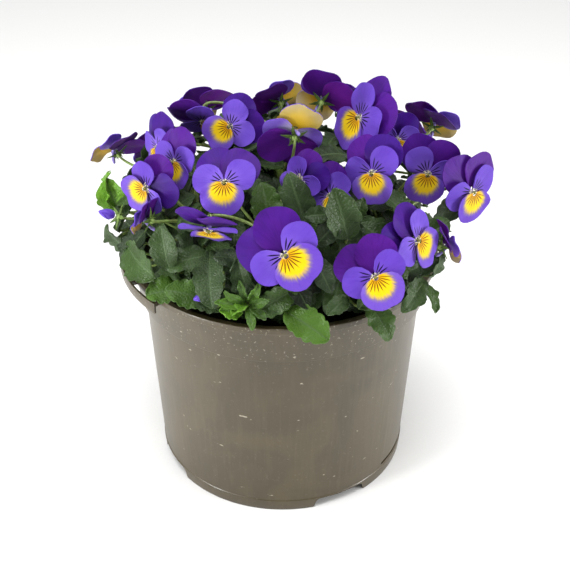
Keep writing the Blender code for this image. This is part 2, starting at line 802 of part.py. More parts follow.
def leaf_axes(leaf):
    """Length of a leaf's blade, then the directions across it, along it and out of its face."""
    along_leaf = leaf.tip - leaf.base
    length = np.linalg.norm(along_leaf)
    outward = along_leaf / length
    across = unit(np.cross(outward, leaf.normal))
    return length, across, outward, np.cross(across, outward)


def place_leaf(leaf, flat):
    """The places in space of a leaf's flat points; below its base Y runs down its stalk."""
    length, across, outward, normal = leaf_axes(leaf)
    x, y = np.asarray(flat, float).T
    half = LEAF_DROOP / 2
    angle = LEAF_DROOP * (y / length - 0.5)
    middle = length * (np.sin(angle) + math.sin(half)) / (2 * math.sin(half))
    drop = length * (np.cos(angle) - math.cos(half)) / LEAF_DROOP + LEAF_FOLD * np.abs(x)
    blade = leaf.base + np.outer(x, across) + np.outer(middle, outward) + np.outer(drop, normal)
    down = leaf.anchor - leaf.base
    stalk = leaf.base + np.outer(-y / np.linalg.norm(down), down) + np.outer(x, across)
    return np.where(y[:, None] < 0, stalk, blade)


def leaf_outline(length, width, stalk):
    """Flat outline of a crenate leaf with its stalk, anticlockwise from the right of the stalk."""
    side = []
    for i, share in enumerate(LEAF_SIDE_SHARES):
        tooth = LEAF_TOOTH if i % 2 else 1.0
        side.append((width * leaf_half_width(share) * tooth, length * share))
    right = [(PETIOLE, -stalk), (PETIOLE, 0.0), *side]
    return [*right, (0.0, length), *((-x, y) for x, y in reversed(right))]


def leaf_object(leaf):
    """One leaf with its stalk."""
    length = np.linalg.norm(leaf.tip - leaf.base)
    stalk = np.linalg.norm(leaf.anchor - leaf.base)
    outline = leaf_outline(length, leaf.width, stalk)
    inner = [(0.0, share * length) for share in LEAF_MIDRIB]
    bm = bmesh.new()
    add_blade(bm, outline, inner, lambda flat: place_leaf(leaf, flat))
    return object_from("leaf", bm)


def leaf_cloud(leaf):
    """Points on a leaf's stalk away from the stem, then points all over its blade."""
    length = np.linalg.norm(leaf.tip - leaf.base)
    stalk = np.linalg.norm(leaf.anchor - leaf.base)
    flat = [(0.0, -stalk * share) for share in np.linspace(0.01, 0.75, STALK_CLOUD_POINTS)]
    for share in np.linspace(0.1, 1.0, 1 + int(length / CLOUD_STEP)):
        half = leaf.width * leaf_half_width(min(share, TIP_SHARE))
        flat.extend((x, share * length) for x in np.linspace(-half, half, 2 + int(2 * half / CLOUD_STEP)))
    return place_leaf(leaf, flat)


def flower_stalk(stem, frame, shoot, flower, neighbours):
    """A stalk from the stem that hooks into the back of a flower, the first that is clear."""
    throat, _, _, forward = frame
    end = throat + forward * CALYX_BACK
    for swing in STALK_SWINGS:
        for pull in STALK_PULLS:
            for start_share in STALK_STARTS:
                start = along(stem, start_share)
                side = unit(np.cross(UP, end - start)) * swing * 3
                leave = UP * np.linalg.norm(end - start) + side
                path = hermite(start, end, leave, forward * pull - side, STALK_STEPS)
                fine = [along(path, share) for share in np.linspace(0.12, 1, 30)]
                if neighbours.clear(fine, STALK_GAP, skip=(shoot, flower)) and neighbours.clear(
                    fine[:-OWN_FLOWER_POINTS], STALK_GAP, only=(flower,)
                ):
                    return path
    raise ValueError(f"no clear stalk from {shoot} to {flower}")


def clear_of_rim(points):
    """Whether points lie above the soil and clear of the pot's rim."""
    over_rim = points[:, 2] > POT_HEIGHT + RIM_CLEARANCE
    within_rim = np.hypot(points[:, 0], points[:, 1]) < BAND_TOP_RADIUS - WALL - RIM_CLEARANCE
    return np.all((points[:, 2] > SOIL_TOP + RIM_CLEARANCE) & (over_rim | within_rim))


def drawn_leaf(stems, number, draw):
    """A leaf drawn on the mound's shell, on the stem nearest to it, and the number of that stem."""
    low, high = MOUND_RISE
    rise = low + (high - low) * ((number * GOLDEN_STEP + draw.uniform(0, 0.1)) % 1)
    azimuth = number * GOLDEN_ANGLE + draw.uniform(-0.5, 0.5)
    level = math.sqrt(1 - rise**2)
    out = np.array((math.cos(azimuth) * level, math.sin(azimuth) * level, rise))
    middle = MOUND_CENTRE + MOUND_RADII * out * draw.uniform(*MOUND_SHELL)
    scatter = polar(draw.uniform(0, 360), LEAF_SCATTER, 0.0)
    normal = unit(out + UP * draw.uniform(*LEAF_UPTURN) + scatter)
    side = unit(np.cross(UP, out))
    climb = np.cross(normal, side)
    swing = draw.gauss(0, LEAF_SWING)
    heading = unit(climb * math.cos(swing) + side * math.sin(swing))
    if rise < LOW_RISE and draw.random() < LOW_HANGING:
        heading = heading * HANGING
    length = draw.uniform(*LEAF_LENGTHS)
    base = middle - heading * length / 2
    tip = base + unit(heading) * length
    pull = base - (out * 0.6 + UP * 0.5) * draw.uniform(*LEAF_STALKS)
    reaches = [
        (np.linalg.norm(along(stem, share) - pull), shoot, share)
        for shoot, stem in enumerate(stems)
        for share in np.linspace(*LEAF_ANCHORS, 16)
    ]
    _, shoot, share = min(reaches)
    anchor = along(stems[shoot], share)
    return shoot, Leaf(anchor, base, tip, normal, length * draw.uniform(*LEAF_WIDTH_SHARES))


def placed_leaves(stems, neighbours):
    """The leaves of every shoot: the ones placed by hand, then drawn ones that keep clear."""
    leaves = [[] for _ in SHOOTS]
    for shoot, share, base, tip, yaw, pitch, width in HAND_LEAVES:
        normal = frame_of(Bloom(0, 0, 0, yaw, pitch, 0, 1, shoot))[3]
        anchor = along(stems[shoot], share)
        leaf = Leaf(anchor, np.array(base) * MM, np.array(tip) * MM, normal, width * MM)
        leaves[shoot].append(leaf)
        neighbours.add(f"shoot_{shoot}", leaf_cloud(leaf))
    draw = random.Random(SEED)
    for number in range(LEAVES - len(HAND_LEAVES)):
        for _ in range(LEAF_TRIES):
            shoot, leaf = drawn_leaf(stems, number, draw)
            node = f"shoot_{shoot}"
            cloud = leaf_cloud(leaf)
            blade_only = cloud[STALK_CLOUD_POINTS:]
            if not clear_of_rim(cloud):
                continue
            if neighbours.clear(cloud, LEAF_GAP, skip=(node,)) and neighbours.clear(
                blade_only, OWN_LEAF_GAP, only=(node,)
            ):
                leaves[shoot].append(leaf)
                neighbours.add(node, cloud)
                break
    return leaves


def plan_plant():
    """The stems, then each shoot's flower stalks and leaves, all clear of each other's nodes."""
    neighbours = Neighbours()
    flowers = [*BLOOMS, *BACK_BLOOMS, *BUDS]
    for number, bloom in enumerate((*BLOOMS, *BACK_BLOOMS), 1):
        neighbours.add(f"flower_{number}", bloom_cloud(number, bloom))
    for number, bud in enumerate(BUDS, len(flowers) - len(BUDS) + 1):
        throat, _, _, forward = frame_of(bud)
        neighbours.add(f"flower_{number}", [throat + forward * BUD_LENGTH * t for t in (0, 0.5, 1)])
    stems = [stem_path(shoot) for shoot in SHOOTS]
    for shoot, stem in enumerate(stems):
        neighbours.add(f"shoot_{shoot}", [along(stem, share) for share in np.linspace(0, 1, 24)])
    stalks = [[] for _ in SHOOTS]
    for number, flower in enumerate(flowers, 1):
        node = f"shoot_{flower.shoot}"
        path = flower_stalk(
            stems[flower.shoot], frame_of(flower), node, f"flower_{number}", neighbours
        )
        stalks[flower.shoot].append((path, frame_of(flower)))
        neighbours.add(node, [along(path, share) for share in np.linspace(0, 1, 24)])
    return stems, stalks, placed_leaves(stems, neighbours)


def make_shoot(number, stem, stalks, leaves, green):
    """A leafy shoot in one body: its stem, flower stalks, calyxes and leaves."""
    pieces = [tube("stem", stem, STEM_RADIUS)]
    pieces.extend(stalk_and_calyx(path, frame) for path, frame in stalks)
    pieces.extend(leaf_object(leaf) for leaf in leaves)
    fused(f"shoot_{number:02d}", pieces, green)


def main():
    """Build the whole plant in its pot."""
    clear_scene()
    taupe = material("taupe moulded plastic", (0.19, 0.165, 0.125), 0.42)
    peat = material("peat", (0.03, 0.02, 0.013), 0.95)
    green = material("leaf green", (0.045, 0.11, 0.03), 0.5)
    purple = material("deep purple petal", (0.075, 0.012, 0.33), 0.55)
    lavender = material("lavender petal", (0.2, 0.1, 0.66), 0.55)
    stems, stalks, leaves = plan_plant()
    make_pot(taupe)
    make_soil(peat, stems)
    for number, (stem, own_stalks, own_leaves) in enumerate(zip(stems, stalks, leaves), 1):
        make_shoot(number, stem, own_stalks, own_leaves, green)
    for number, bloom in enumerate(BLOOMS, 1):
        make_bloom(number, bloom, purple, lavender)
    for number, bloom in enumerate(BACK_BLOOMS, len(BLOOMS) + 1):
        make_back_bloom(number, bloom, purple)
    for number, bud in enumerate(BUDS, 1):
        make_bud(number, bud, purple)


main()
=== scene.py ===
"""Dressed model of the potted viola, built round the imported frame.

Finer petals, leaves, soil and pot stand for the frame's solids: the plant is planned again from
the same sizes and seeded draws, and each blade is drawn on a fine grid of the same surface.
"""

from __future__ import annotations

import json
import logging
import math
import random
from dataclasses import dataclass, field, replace
from enum import Enum
from typing import Iterable, NamedTuple, Sequence

import bmesh
import bpy
import numpy as np
from mathutils import Matrix, Vector, noise

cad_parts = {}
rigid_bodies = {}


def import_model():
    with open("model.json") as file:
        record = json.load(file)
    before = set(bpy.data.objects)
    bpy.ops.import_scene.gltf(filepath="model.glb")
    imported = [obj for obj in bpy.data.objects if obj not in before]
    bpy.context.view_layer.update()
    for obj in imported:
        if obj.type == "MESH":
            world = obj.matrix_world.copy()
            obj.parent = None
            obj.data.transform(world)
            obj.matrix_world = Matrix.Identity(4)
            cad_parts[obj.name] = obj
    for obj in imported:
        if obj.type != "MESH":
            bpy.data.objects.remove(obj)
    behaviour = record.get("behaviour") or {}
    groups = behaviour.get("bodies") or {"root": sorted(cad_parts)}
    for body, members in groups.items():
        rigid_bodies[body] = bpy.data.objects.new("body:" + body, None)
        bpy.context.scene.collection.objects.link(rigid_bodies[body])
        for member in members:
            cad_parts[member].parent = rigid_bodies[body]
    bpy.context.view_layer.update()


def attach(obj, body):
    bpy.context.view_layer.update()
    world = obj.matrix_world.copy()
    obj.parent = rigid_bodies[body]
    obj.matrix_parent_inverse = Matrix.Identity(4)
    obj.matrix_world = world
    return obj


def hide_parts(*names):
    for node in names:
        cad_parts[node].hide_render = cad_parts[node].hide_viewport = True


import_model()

MM = 0.001
UP = np.array((0.0, 0.0, 1.0))
SEED = 14
BODY = "root"
LOG = logging.getLogger("potted_viola")

Points = np.ndarray
Path = Sequence[Points]
Socket = bpy.types.NodeSocket
Tree = bpy.types.NodeTree
Surface = tuple[Socket, Socket, float]
Pair = tuple[float, float]


# Small geometry


def unit(vector: Points) -> Points:
    """The vector at length 1."""
    return vector / np.linalg.norm(vector)


def polar(azimuth_degrees: float, reach: float, height: float) -> Points:
    """A point from its direction round Z, its distance from Z and its height."""
    turn = math.radians(azimuth_degrees)
    return np.array((reach * math.cos(turn), reach * math.sin(turn), height))


def hermite(start: Points, end: Points, start_pull: Points, end_pull: Points, steps: int) -> list[Points]:
    """Points on a smooth curve that leaves and arrives along the two pulls.

    Args:
        start: First point.
        end: Last point.
        start_pull: How the curve leaves the first point.
        end_pull: How it arrives at the last point.
        steps: Number of stretches.

    Returns:
        The points, one more than the steps.
    """
    points = []
    for t in np.linspace(0, 1, steps + 1):
        points.append(
            (2 * t**3 - 3 * t**2 + 1) * start
            + (t**3 - 2 * t**2 + t) * start_pull
            + (3 * t**2 - 2 * t**3) * end
            + (t**3 - t**2) * end_pull
        )
    return points


def along(path: Path, share: float) -> Points:
    """The point at a share of the way along a path, by its number of points.

    Args:
        path: Points in metres.
        share: 0 at the first point, 1 at the last.

    Returns:
        The point.
    """
    place = share * (len(path) - 1)
    low = min(int(place), len(path) - 2)
    return path[low] + (path[low + 1] - path[low]) * (place - low)


class Skin:
    """A mesh that grows by closed sheets and tubes, each with a finish and values to paint by."""

    def __init__(self) -> None:
        """Start with an empty mesh."""
        self.points: list[Points] = []
        self.faces: list[list[int]] = []
        self.slots: list[int] = []
        self.paint: list[Points] = []
        self.count = 0

    def keep(
        self, points: Points, faces: Sequence[Sequence[int]], slots: Sequence[int], paint: Points
    ) -> None:
        """Add vertices with their paint values, and faces with their finish numbers.

        Args:
            points: Vertices in metres.
            faces: Corners of each face, counted from the first of these vertices.
            slots: Finish number of each face.
            paint: Three values for each vertex, or for all of them.
        """
        self.points.append(points)
        self.paint.append(np.broadcast_to(paint, points.shape))
        self.faces.extend([corner + self.count for corner in face] for face in faces)
        self.slots.extend(slots)
        self.count += len(points)

    def sheet(self, grid: Points, paint: Points, thickness: float, over: int, under: int) -> None:
        """Add a closed thin sheet over a grid of points.

        Args:
            grid: Rows and columns of points in metres.
            paint: Three values to paint by for each point.
            thickness: Distance between its two faces.
            over: Finish of the rim and of the face that the columns, then the rows, turn round.
            under: Finish of the other face.
        """
        rows, columns = grid.shape[:2]
        normal = np.cross(np.gradient(grid, axis=1), np.gradient(grid, axis=0))
        normal /= np.maximum(np.linalg.norm(normal, axis=2, keepdims=True), 1e-12)
        top = (grid + normal * thickness / 2).reshape(-1, 3)
        low = (grid - normal * thickness / 2).reshape(-1, 3)
        index = np.arange(rows * columns).reshape(rows, columns)
        corners = (index[:-1, :-1], index[:-1, 1:], index[1:, 1:], index[1:, :-1])
        quads = np.stack(corners, axis=-1).reshape(-1, 4)
        rim = np.concatenate((index[0], index[1:, -1], index[-1, -2::-1], index[-2:0:-1, 0]))
        after = np.roll(rim, -1)
        behind = rows * columns
        edge = np.stack((rim + behind, after + behind, after, rim), axis=-1)
        faces = np.concatenate((quads, quads[:, ::-1] + behind, edge)).tolist()
        slots = [over] * len(quads) + [under] * len(quads) + [over] * len(edge)
        values = paint.reshape(-1, 3)
        self.keep(np.concatenate((top, low)), faces, slots, np.concatenate((values, values)))

    def tube(
        self, path: Path, radii: float | Sequence[float], sides: int, slot: int, paint: Points = UP
    ) -> None:
        """Add a closed tube along a path, with a point at each end.

        Args:
            path: Points in metres.
            radii: One radius, or one for each point.
            sides: Sides of its section.
            slot: Finish number.
            paint: Three values to paint by.
        """
        path = np.asarray(path, float)
        radii = np.broadcast_to(radii, len(path))
        tangents = np.gradient(path, axis=0)
        side = np.cross(tangents[0], UP if abs(unit(tangents[0])[2]) < 0.9 else np.array((1.0, 0.0, 0.0)))
        turns = np.linspace(0, 2 * math.pi, sides, endpoint=False)
        rings = []
        for place, tangent, radius in zip(path, tangents, radii):
            axis = unit(tangent)
            side = unit(side - axis * np.dot(side, axis))
            other = np.cross(axis, side)
            rings.append(place + radius * (np.outer(np.cos(turns), side) + np.outer(np.sin(turns), other)))
        count = len(path)
        first, last = count * sides, count * sides + 1
        points = np.concatenate((*rings, [path[0] - unit(tangents[0]) * radii[0] * 0.5]))
        points = np.concatenate((points, [path[-1] + unit(tangents[-1]) * radii[-1] * 0.5]))
        index = np.arange(count * sides).reshape(count, sides)
        follow = np.roll(index, -1, axis=1)
        quads = np.stack((index[:-1], follow[:-1], follow[1:], index[1:]), axis=-1).reshape(-1, 4).tolist()
        ends = [[follow[0, i], index[0, i], first] for i in range(sides)]
        ends += [[index[-1, i], follow[-1, i], last] for i in range(sides)]
        self.keep(points, quads + ends, [slot] * (len(quads) + len(ends)), np.asarray(paint, float))

    def bead(
        self, centre: Points, axis: Points, length: float, radius: float, slot: int, sides: int = 10
    ) -> None:
        """Add a spindle along an axis, round at both ends.

        Args:
            centre: Its middle.
            axis: Direction along it.
            length: Its length.
            radius: Its largest radius.
            slot: Finish number.
            sides: Sides of its section.
        """
        shares = np.linspace(0.04, 0.96, 7)
        path = [centre + unit(axis) * length * (share - 0.5) for share in shares]
        self.tube(path, [radius * math.sqrt(1 - (2 * share - 1) ** 2) for share in shares], sides, slot)

    def piece(
        self, name: str, tissues: Iterable[Tissue], slot: str, node: str = "", sharp: float = 50
    ) -> None:
        """Make an object of the mesh, which rides on the plant's body.

        Args:
            name: Name of the object.
            tissues: Its finishes, by finish number.
            slot: The record's material slot; not used.
            node: The CAD node that the object stands for, if any.
            sharp: Angle in degrees over which an edge shades as an edge.
        """
        materials = finish(*tissues)
        mesh = bpy.data.meshes.new(name)
        mesh.from_pydata(np.concatenate(self.points).tolist(), [], self.faces)
        mesh.attributes.new("paint", "FLOAT_VECTOR", "POINT").data.foreach_set(
            "vector", np.concatenate(self.paint).astype(np.float32).ravel()
        )
        for material in materials:
            mesh.materials.append(material)
        mesh.polygons.foreach_set("material_index", self.slots)
        mesh.shade_smooth()
        mesh.set_sharp_from_angle(angle=math.radians(sharp))
        mesh.update()
        obj = bpy.data.objects.new(name, mesh)
        bpy.context.scene.collection.objects.link(obj)
        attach(obj, BODY)
        if node:
            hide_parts(node)


# Finishes


def linear(code: str) -> tuple[float, float, float, float]:
    """Linear colour from an sRGB hex code."""
    parts = [int(code[i : i + 2], 16) / 255 for i in (1, 3, 5)]
    return (*[part / 12.92 if part <= 0.04045 else ((part + 0.055) / 1.055) ** 2.4 for part in parts], 1.0)


def add(tree: Tree, kind: str, inputs: dict | None = None, out: int | str = 0, **settings) -> Socket:
    """Add a shader node.

    Args:
        tree: The material's node tree.
        kind: Node type after "ShaderNode".
        inputs: Values, sockets or sRGB hex codes for its inputs.
        out: Which output to return.
        **settings: Attributes of the node.

    Returns:
        The chosen output socket.
    """
    made = tree.nodes.new(f"ShaderNode{kind}")
    for key, value in settings.items():
        setattr(made, key, value)
    for key, value in (inputs or {}).items():
        if isinstance(value, bpy.types.NodeSocket):
            tree.links.new(value, made.inputs[key])
        else:
            made.inputs[key].default_value = linear(value) if isinstance(value, str) else value
    return made.outputs[out]


def painted(tree: Tree) -> Sequence[Socket]:
    """The three values that a piece is painted by."""
    values = add(tree, "Attribute", out="Vector", attribute_name="paint")
    return add(tree, "SeparateXYZ", {0: values}).node.outputs


@dataclass(frozen=True)
class Finish:
    """A surface, named for what it is made of."""

    name: str
    roughness: float
    ior: float = 1.45
    sheen: float = 0.0
    coat: float = 0.0
    glow: str = ""
    glow_share: float = 0.0

    def material(self) -> bpy.types.Material:
        """The material, with the colour and the relief that its nodes give.

        Returns:
            The material.
        """
        made = bpy.data.materials.new(self.name)
        made.use_nodes = True
        tree = made.node_tree
        shader = tree.nodes["Principled BSDF"]
        shader.inputs["Roughness"].default_value = self.roughness
        shader.inputs["IOR"].default_value = self.ior
        shader.inputs["Sheen Weight"].default_value = self.sheen
        shader.inputs["Coat Weight"].default_value = self.coat
        shader.inputs["Metallic"].default_value = 0.0
        colour, height, depth = self.surface(tree)
        tree.links.new(colour, shader.inputs["Base Color"])
        bump = add(tree, "Bump", {"Height": height, "Strength": 1.0, "Distance": depth})
        tree.links.new(bump, shader.inputs["Normal"])
        if self.glow_share:
            light = add(tree, "Mix", {0: 0.5, 6: colour, 7: self.glow}, 2, data_type="RGBA")
            through = add(tree, "BsdfTranslucent", {"Color": light, "Normal": bump})
            both = add(tree, "MixShader", {0: self.glow_share, 1: shader.outputs[0], 2: through})
            tree.links.new(both, tree.nodes["Material Output"].inputs["Surface"])
        return made

    def surface(self, tree: Tree) -> Surface:
        """Colour, relief (0 to 1) and its depth in metres."""
        raise NotImplementedError


@dataclass(frozen=True)
class PetalTissue(Finish):
    """Viola petal: sap-filled cells that scatter light, veined outwards from the claw.

    Its velvet comes from sheen, its glow where it is lit from behind from a share of light that
    passes through. The paint values are the flat petal's own X and Y in mm, for a bloom of size 1,
    and its tint.
    """

    ior: float = 1.22
    sheen: float = 0.03
    rim: str = "#6b45cf"
    heart: str = "#6b45cf"
    warm: str = "#6b45cf"
    vein: str = "#4a2aa8"
    veining: float = 0.2
    heart_reach: float = 14.0
    blotch: float = 0.0
    rays: float = 0.0
    ray_spacing: float = 11.0
    ray_width: float = 0.3
    ray_fan: float = 0.9
    ray_colour: str = "#5a2404"
    claw: float = 2.0

    def surface(self, tree: Tree) -> Surface:
        """Colour, relief (0 to 1) and its depth in metres.

        Args:
            tree: The material's node tree.

        Returns:
            The three, in that order.
        """
        x, y, tint = painted(tree)
        flat = add(tree, "CombineXYZ", {0: x, 1: y, 2: 0.0})
        reach = add(tree, "VectorMath", {0: flat}, "Value", operation="LENGTH")
        angle = add(tree, "Math", {0: x, 1: y}, operation="ARCTAN2")
        turns = add(tree, "Math", {0: angle, 1: 13.0}, operation="MULTIPLY")
        slow = add(tree, "Math", {0: reach, 1: 0.16}, operation="MULTIPLY")
        own = add(tree, "Math", {0: tint, 1: 40.0}, operation="MULTIPLY")
        fan = add(tree, "CombineXYZ", {0: turns, 1: slow, 2: own})
        streak = add(tree, "TexNoise", {"Vector": fan, "Scale": 1.0, "Detail": 4.0})
        ends = {0: reach, 1: 2.0, 2: self.heart_reach}
        spread = add(tree, "MapRange", ends, interpolation_type="SMOOTHSTEP")
        colour = add(tree, "Mix", {0: spread, 6: self.heart, 7: self.rim}, 2, data_type="RGBA")
        cloud = add(tree, "TexNoise", {"Vector": flat, "Scale": 0.12, "Detail": 1.0})
        cloud = add(tree, "Math", {0: cloud, 1: tint}, operation="ADD")
        cloud = add(tree, "MapRange", {0: cloud, 1: 0.55, 2: 1.45})
        colour = add(tree, "Mix", {0: cloud, 6: colour, 7: self.warm}, 2, data_type="RGBA")
        lines = add(tree, "MapRange", {0: streak, 1: 0.5, 2: 0.78, 4: self.veining})
        colour = add(tree, "Mix", {0: lines, 6: colour, 7: self.vein}, 2, data_type="RGBA")
        if self.blotch:
            colour = self.with_blotch(tree, colour, reach, angle, streak)
        if self.rays:
            colour = self.with_rays(tree, colour, reach, angle, streak)
        return colour, streak, 0.12 * MM

    def with_blotch(
        self, tree: Tree, colour: Socket, reach: Socket, angle: Socket, streak: Socket
    ) -> Socket:
        """The colour with a fan of yellow from the throat, in a muddy fringe.

        Args:
            tree: The material's node tree.
            colour: Colour so far.
            reach: Distance from the claw in mm.
            angle: Turn from the petal's middle in radians.
            streak: Noise drawn out along the veins.

        Returns:
            The new colour.
        """
        wide = add(tree, "Math", {0: angle, 1: angle}, operation="MULTIPLY")
        ragged = add(tree, "Math", {0: wide, 1: 3.2, 2: reach}, operation="MULTIPLY_ADD")
        ragged = add(tree, "Math", {0: streak, 1: -4.0, 2: ragged}, operation="MULTIPLY_ADD")
        edge = self.blotch - 2.0
        fringe = add(tree, "MapRange", {0: ragged, 1: edge + 2.0, 2: edge, 4: 0.9})
        colour = add(tree, "Mix", {0: fringe, 6: colour, 7: "#85727c"}, 2, data_type="RGBA")
        inside = add(tree, "MapRange", {0: ragged, 1: edge + 0.6, 2: edge - 1.8})
        yellow = add(tree, "MapRange", {0: reach, 1: 2.4, 2: 6.5})
        yellow = add(tree, "Mix", {0: yellow, 6: "#d29a00", 7: "#e0be10"}, 2, data_type="RGBA")
        return add(tree, "Mix", {0: inside, 6: colour, 7: yellow}, 2, data_type="RGBA")

    def with_rays(
        self, tree: Tree, colour: Socket, reach: Socket, angle: Socket, streak: Socket
    ) -> Socket:
        """The colour with dark rays from a pale claw.

        Args:
            tree: The material's node tree.
            colour: Colour so far.
            reach: Distance from the claw in mm.
            angle: Turn from the petal's middle in radians.
            streak: Noise drawn out along the veins.

        Returns:
            The new colour.
        """
        spacing = 2 * math.pi / math.radians(self.ray_spacing)
        wave = add(tree, "Math", {0: angle, 1: spacing}, operation="MULTIPLY")
        wave = add(tree, "Math", {0: wave}, operation="COSINE")
        uneven = add(tree, "Math", {0: streak, 1: -3.0, 2: reach}, operation="MULTIPLY_ADD")
        ends = {1: self.rays * 0.5 - 1.5, 2: self.rays - 1.5, 3: self.ray_width, 4: 1.05}
        fade = add(tree, "MapRange", {0: uneven, **ends})
        line = add(tree, "Math", {0: wave, 1: fade}, operation="SUBTRACT")
        line = add(tree, "MapRange", {0: line, 1: 0.0, 2: 0.3})
        start = add(tree, "MapRange", {0: reach, 1: self.claw - 0.5, 2: self.claw})
        line = add(tree, "Math", {0: line, 1: start}, operation="MULTIPLY")
        sides = add(tree, "Math", {0: angle}, operation="ABSOLUTE")
        sides = add(tree, "MapRange", {0: sides, 1: self.ray_fan + 0.1, 2: self.ray_fan})
        line = add(tree, "Math", {0: line, 1: sides}, operation="MULTIPLY")
        pale = add(tree, "MapRange", {0: reach, 1: self.claw + 0.4, 2: self.claw - 0.6})
        colour = add(tree, "Mix", {0: pale, 6: colour, 7: "#f1ebc2"}, 2, data_type="RGBA")
        return add(tree, "Mix", {0: line, 6: colour, 7: self.ray_colour}, 2, data_type="RGBA")


@dataclass(frozen=True)
class LeafTissue(Finish):
    """Viola leaf: a thin waxy skin over netted veins, greyed by fine down.

    The paint values are the place across (-1 to 1) and along (0 to 1) the blade, and its youth.
    """

    ior: float = 1.33
    sheen: float = 0.03
    dark: str = "#111c0b"
    grey: str = "#2e3e26"
    young: str = "#5d8a22"
    rib: str = "#4f6440"
    ribbing: float = 0.5
    vein_pairs: float = 5.5

    def surface(self, tree: Tree) -> Surface:
        """Colour, relief (0 to 1) and its depth in metres.

        Args:
            tree: The material's node tree.

        Returns:
            The three, in that order.
        """
        x, y, youth = painted(tree)
        place = add(tree, "TexCoord", out="Object")
        cloud = add(tree, "TexNoise", {"Vector": place, "Scale": 1 / (14 * MM), "Detail": 3.0})
        cloud = add(tree, "MapRange", {0: cloud, 1: 0.36, 2: 0.64})
        colour = add(tree, "Mix", {0: cloud, 6: self.dark, 7: self.grey}, 2, data_type="RGBA")
        colour = add(tree, "Mix", {0: youth, 6: colour, 7: self.young}, 2, data_type="RGBA")
        off = add(tree, "Math", {0: x}, operation="ABSOLUTE")
        bent = add(tree, "Math", {0: off, 1: -1.5}, operation="MULTIPLY")
        bent = add(tree, "Math", {0: y, 1: self.vein_pairs, 2: bent}, operation="MULTIPLY_ADD")
        side = add(tree, "Math", {0: bent, 1: 0.5}, operation="PINGPONG")
        side = add(tree, "MapRange", {0: side, 1: 0.10, 2: 0.02, 4: 0.35})
        fade = add(tree, "MapRange", {0: off, 1: 1.0, 2: 0.6})
        side = add(tree, "Math", {0: side, 1: fade}, operation="MULTIPLY")
        middle = add(tree, "MapRange", {0: off, 1: 0.11, 2: 0.03})
        ribs = add(tree, "Math", {0: side, 1: middle}, operation="MAXIMUM")
        shown = add(tree, "Math", {0: ribs, 1: self.ribbing}, operation="MULTIPLY")
        colour = add(tree, "Mix", {0: shown, 6: colour, 7: self.rib}, 2, data_type="RGBA")
        net = add(tree, "TexVoronoi", {"Vector": place, "Scale": 1 / (1.6 * MM)}, feature="DISTANCE_TO_EDGE")
        net = add(tree, "MapRange", {0: net, 1: 0.0, 2: 0.3})
        height = add(tree, "Math", {0: ribs, 1: -0.8, 2: net}, operation="MULTIPLY_ADD")
        return colour, height, 0.14 * MM


@dataclass(frozen=True)
class StalkSkin(Finish):
    """Soft green stalk: smooth, slightly translucent, flushed with brown or purple in streaks."""

    green: str = "#6d8440"
    flush: str = "#55582f"

    def surface(self, tree: Tree) -> Surface:
        """Colour, relief (0 to 1) and its depth in metres.

        Args:
            tree: The material's node tree.

        Returns:
            The three, in that order.
        """
        place = add(tree, "TexCoord", out="Object")
        streak = add(tree, "Mapping", {"Vector": place, "Scale": (1.0, 1.0, 0.2)})
        streak = add(tree, "TexNoise", {"Vector": streak, "Scale": 1 / (1.8 * MM), "Detail": 2.0})
        flush = add(tree, "MapRange", {0: streak, 1: 0.4, 2: 0.7})
        colour = add(tree, "Mix", {0: flush, 6: self.green, 7: self.flush}, 2, data_type="RGBA")
        return colour, streak, 0.1 * MM


@dataclass(frozen=True)
class PeatCompost(Finish):
    """Damp peat compost: dark crumbs and fibres, with a dull, rough, light-drinking surface, painted darker
    still as shade between the leaves.
    """

    def surface(self, tree: Tree) -> Surface:
        """Colour, relief (0 to 1) and its depth in metres.

        Args:
            tree: The material's node tree.

        Returns:
            The three, in that order.
        """
        place = add(tree, "TexCoord", out="Object")
        crumb = add(tree, "TexVoronoi", {"Vector": place, "Scale": 1 / (2.2 * MM)}, "Color")
        grain = add(tree, "TexNoise", {"Vector": place, "Scale": 1 / (1.2 * MM), "Detail": 5.0})
        tone = add(tree, "Math", {0: grain, 1: crumb}, operation="MULTIPLY")
        tone = add(tree, "MapRange", {0: tone, 1: 0.1, 2: 0.5})
        # Painted shade: the colours run darker than the peat's own, as shade in the gaps between the leaves.
        colour = add(tree, "Mix", {0: tone, 6: "#0e0a07", 7: "#2e2219"}, 2, data_type="RGBA")
        return colour, grain, 0.5 * MM


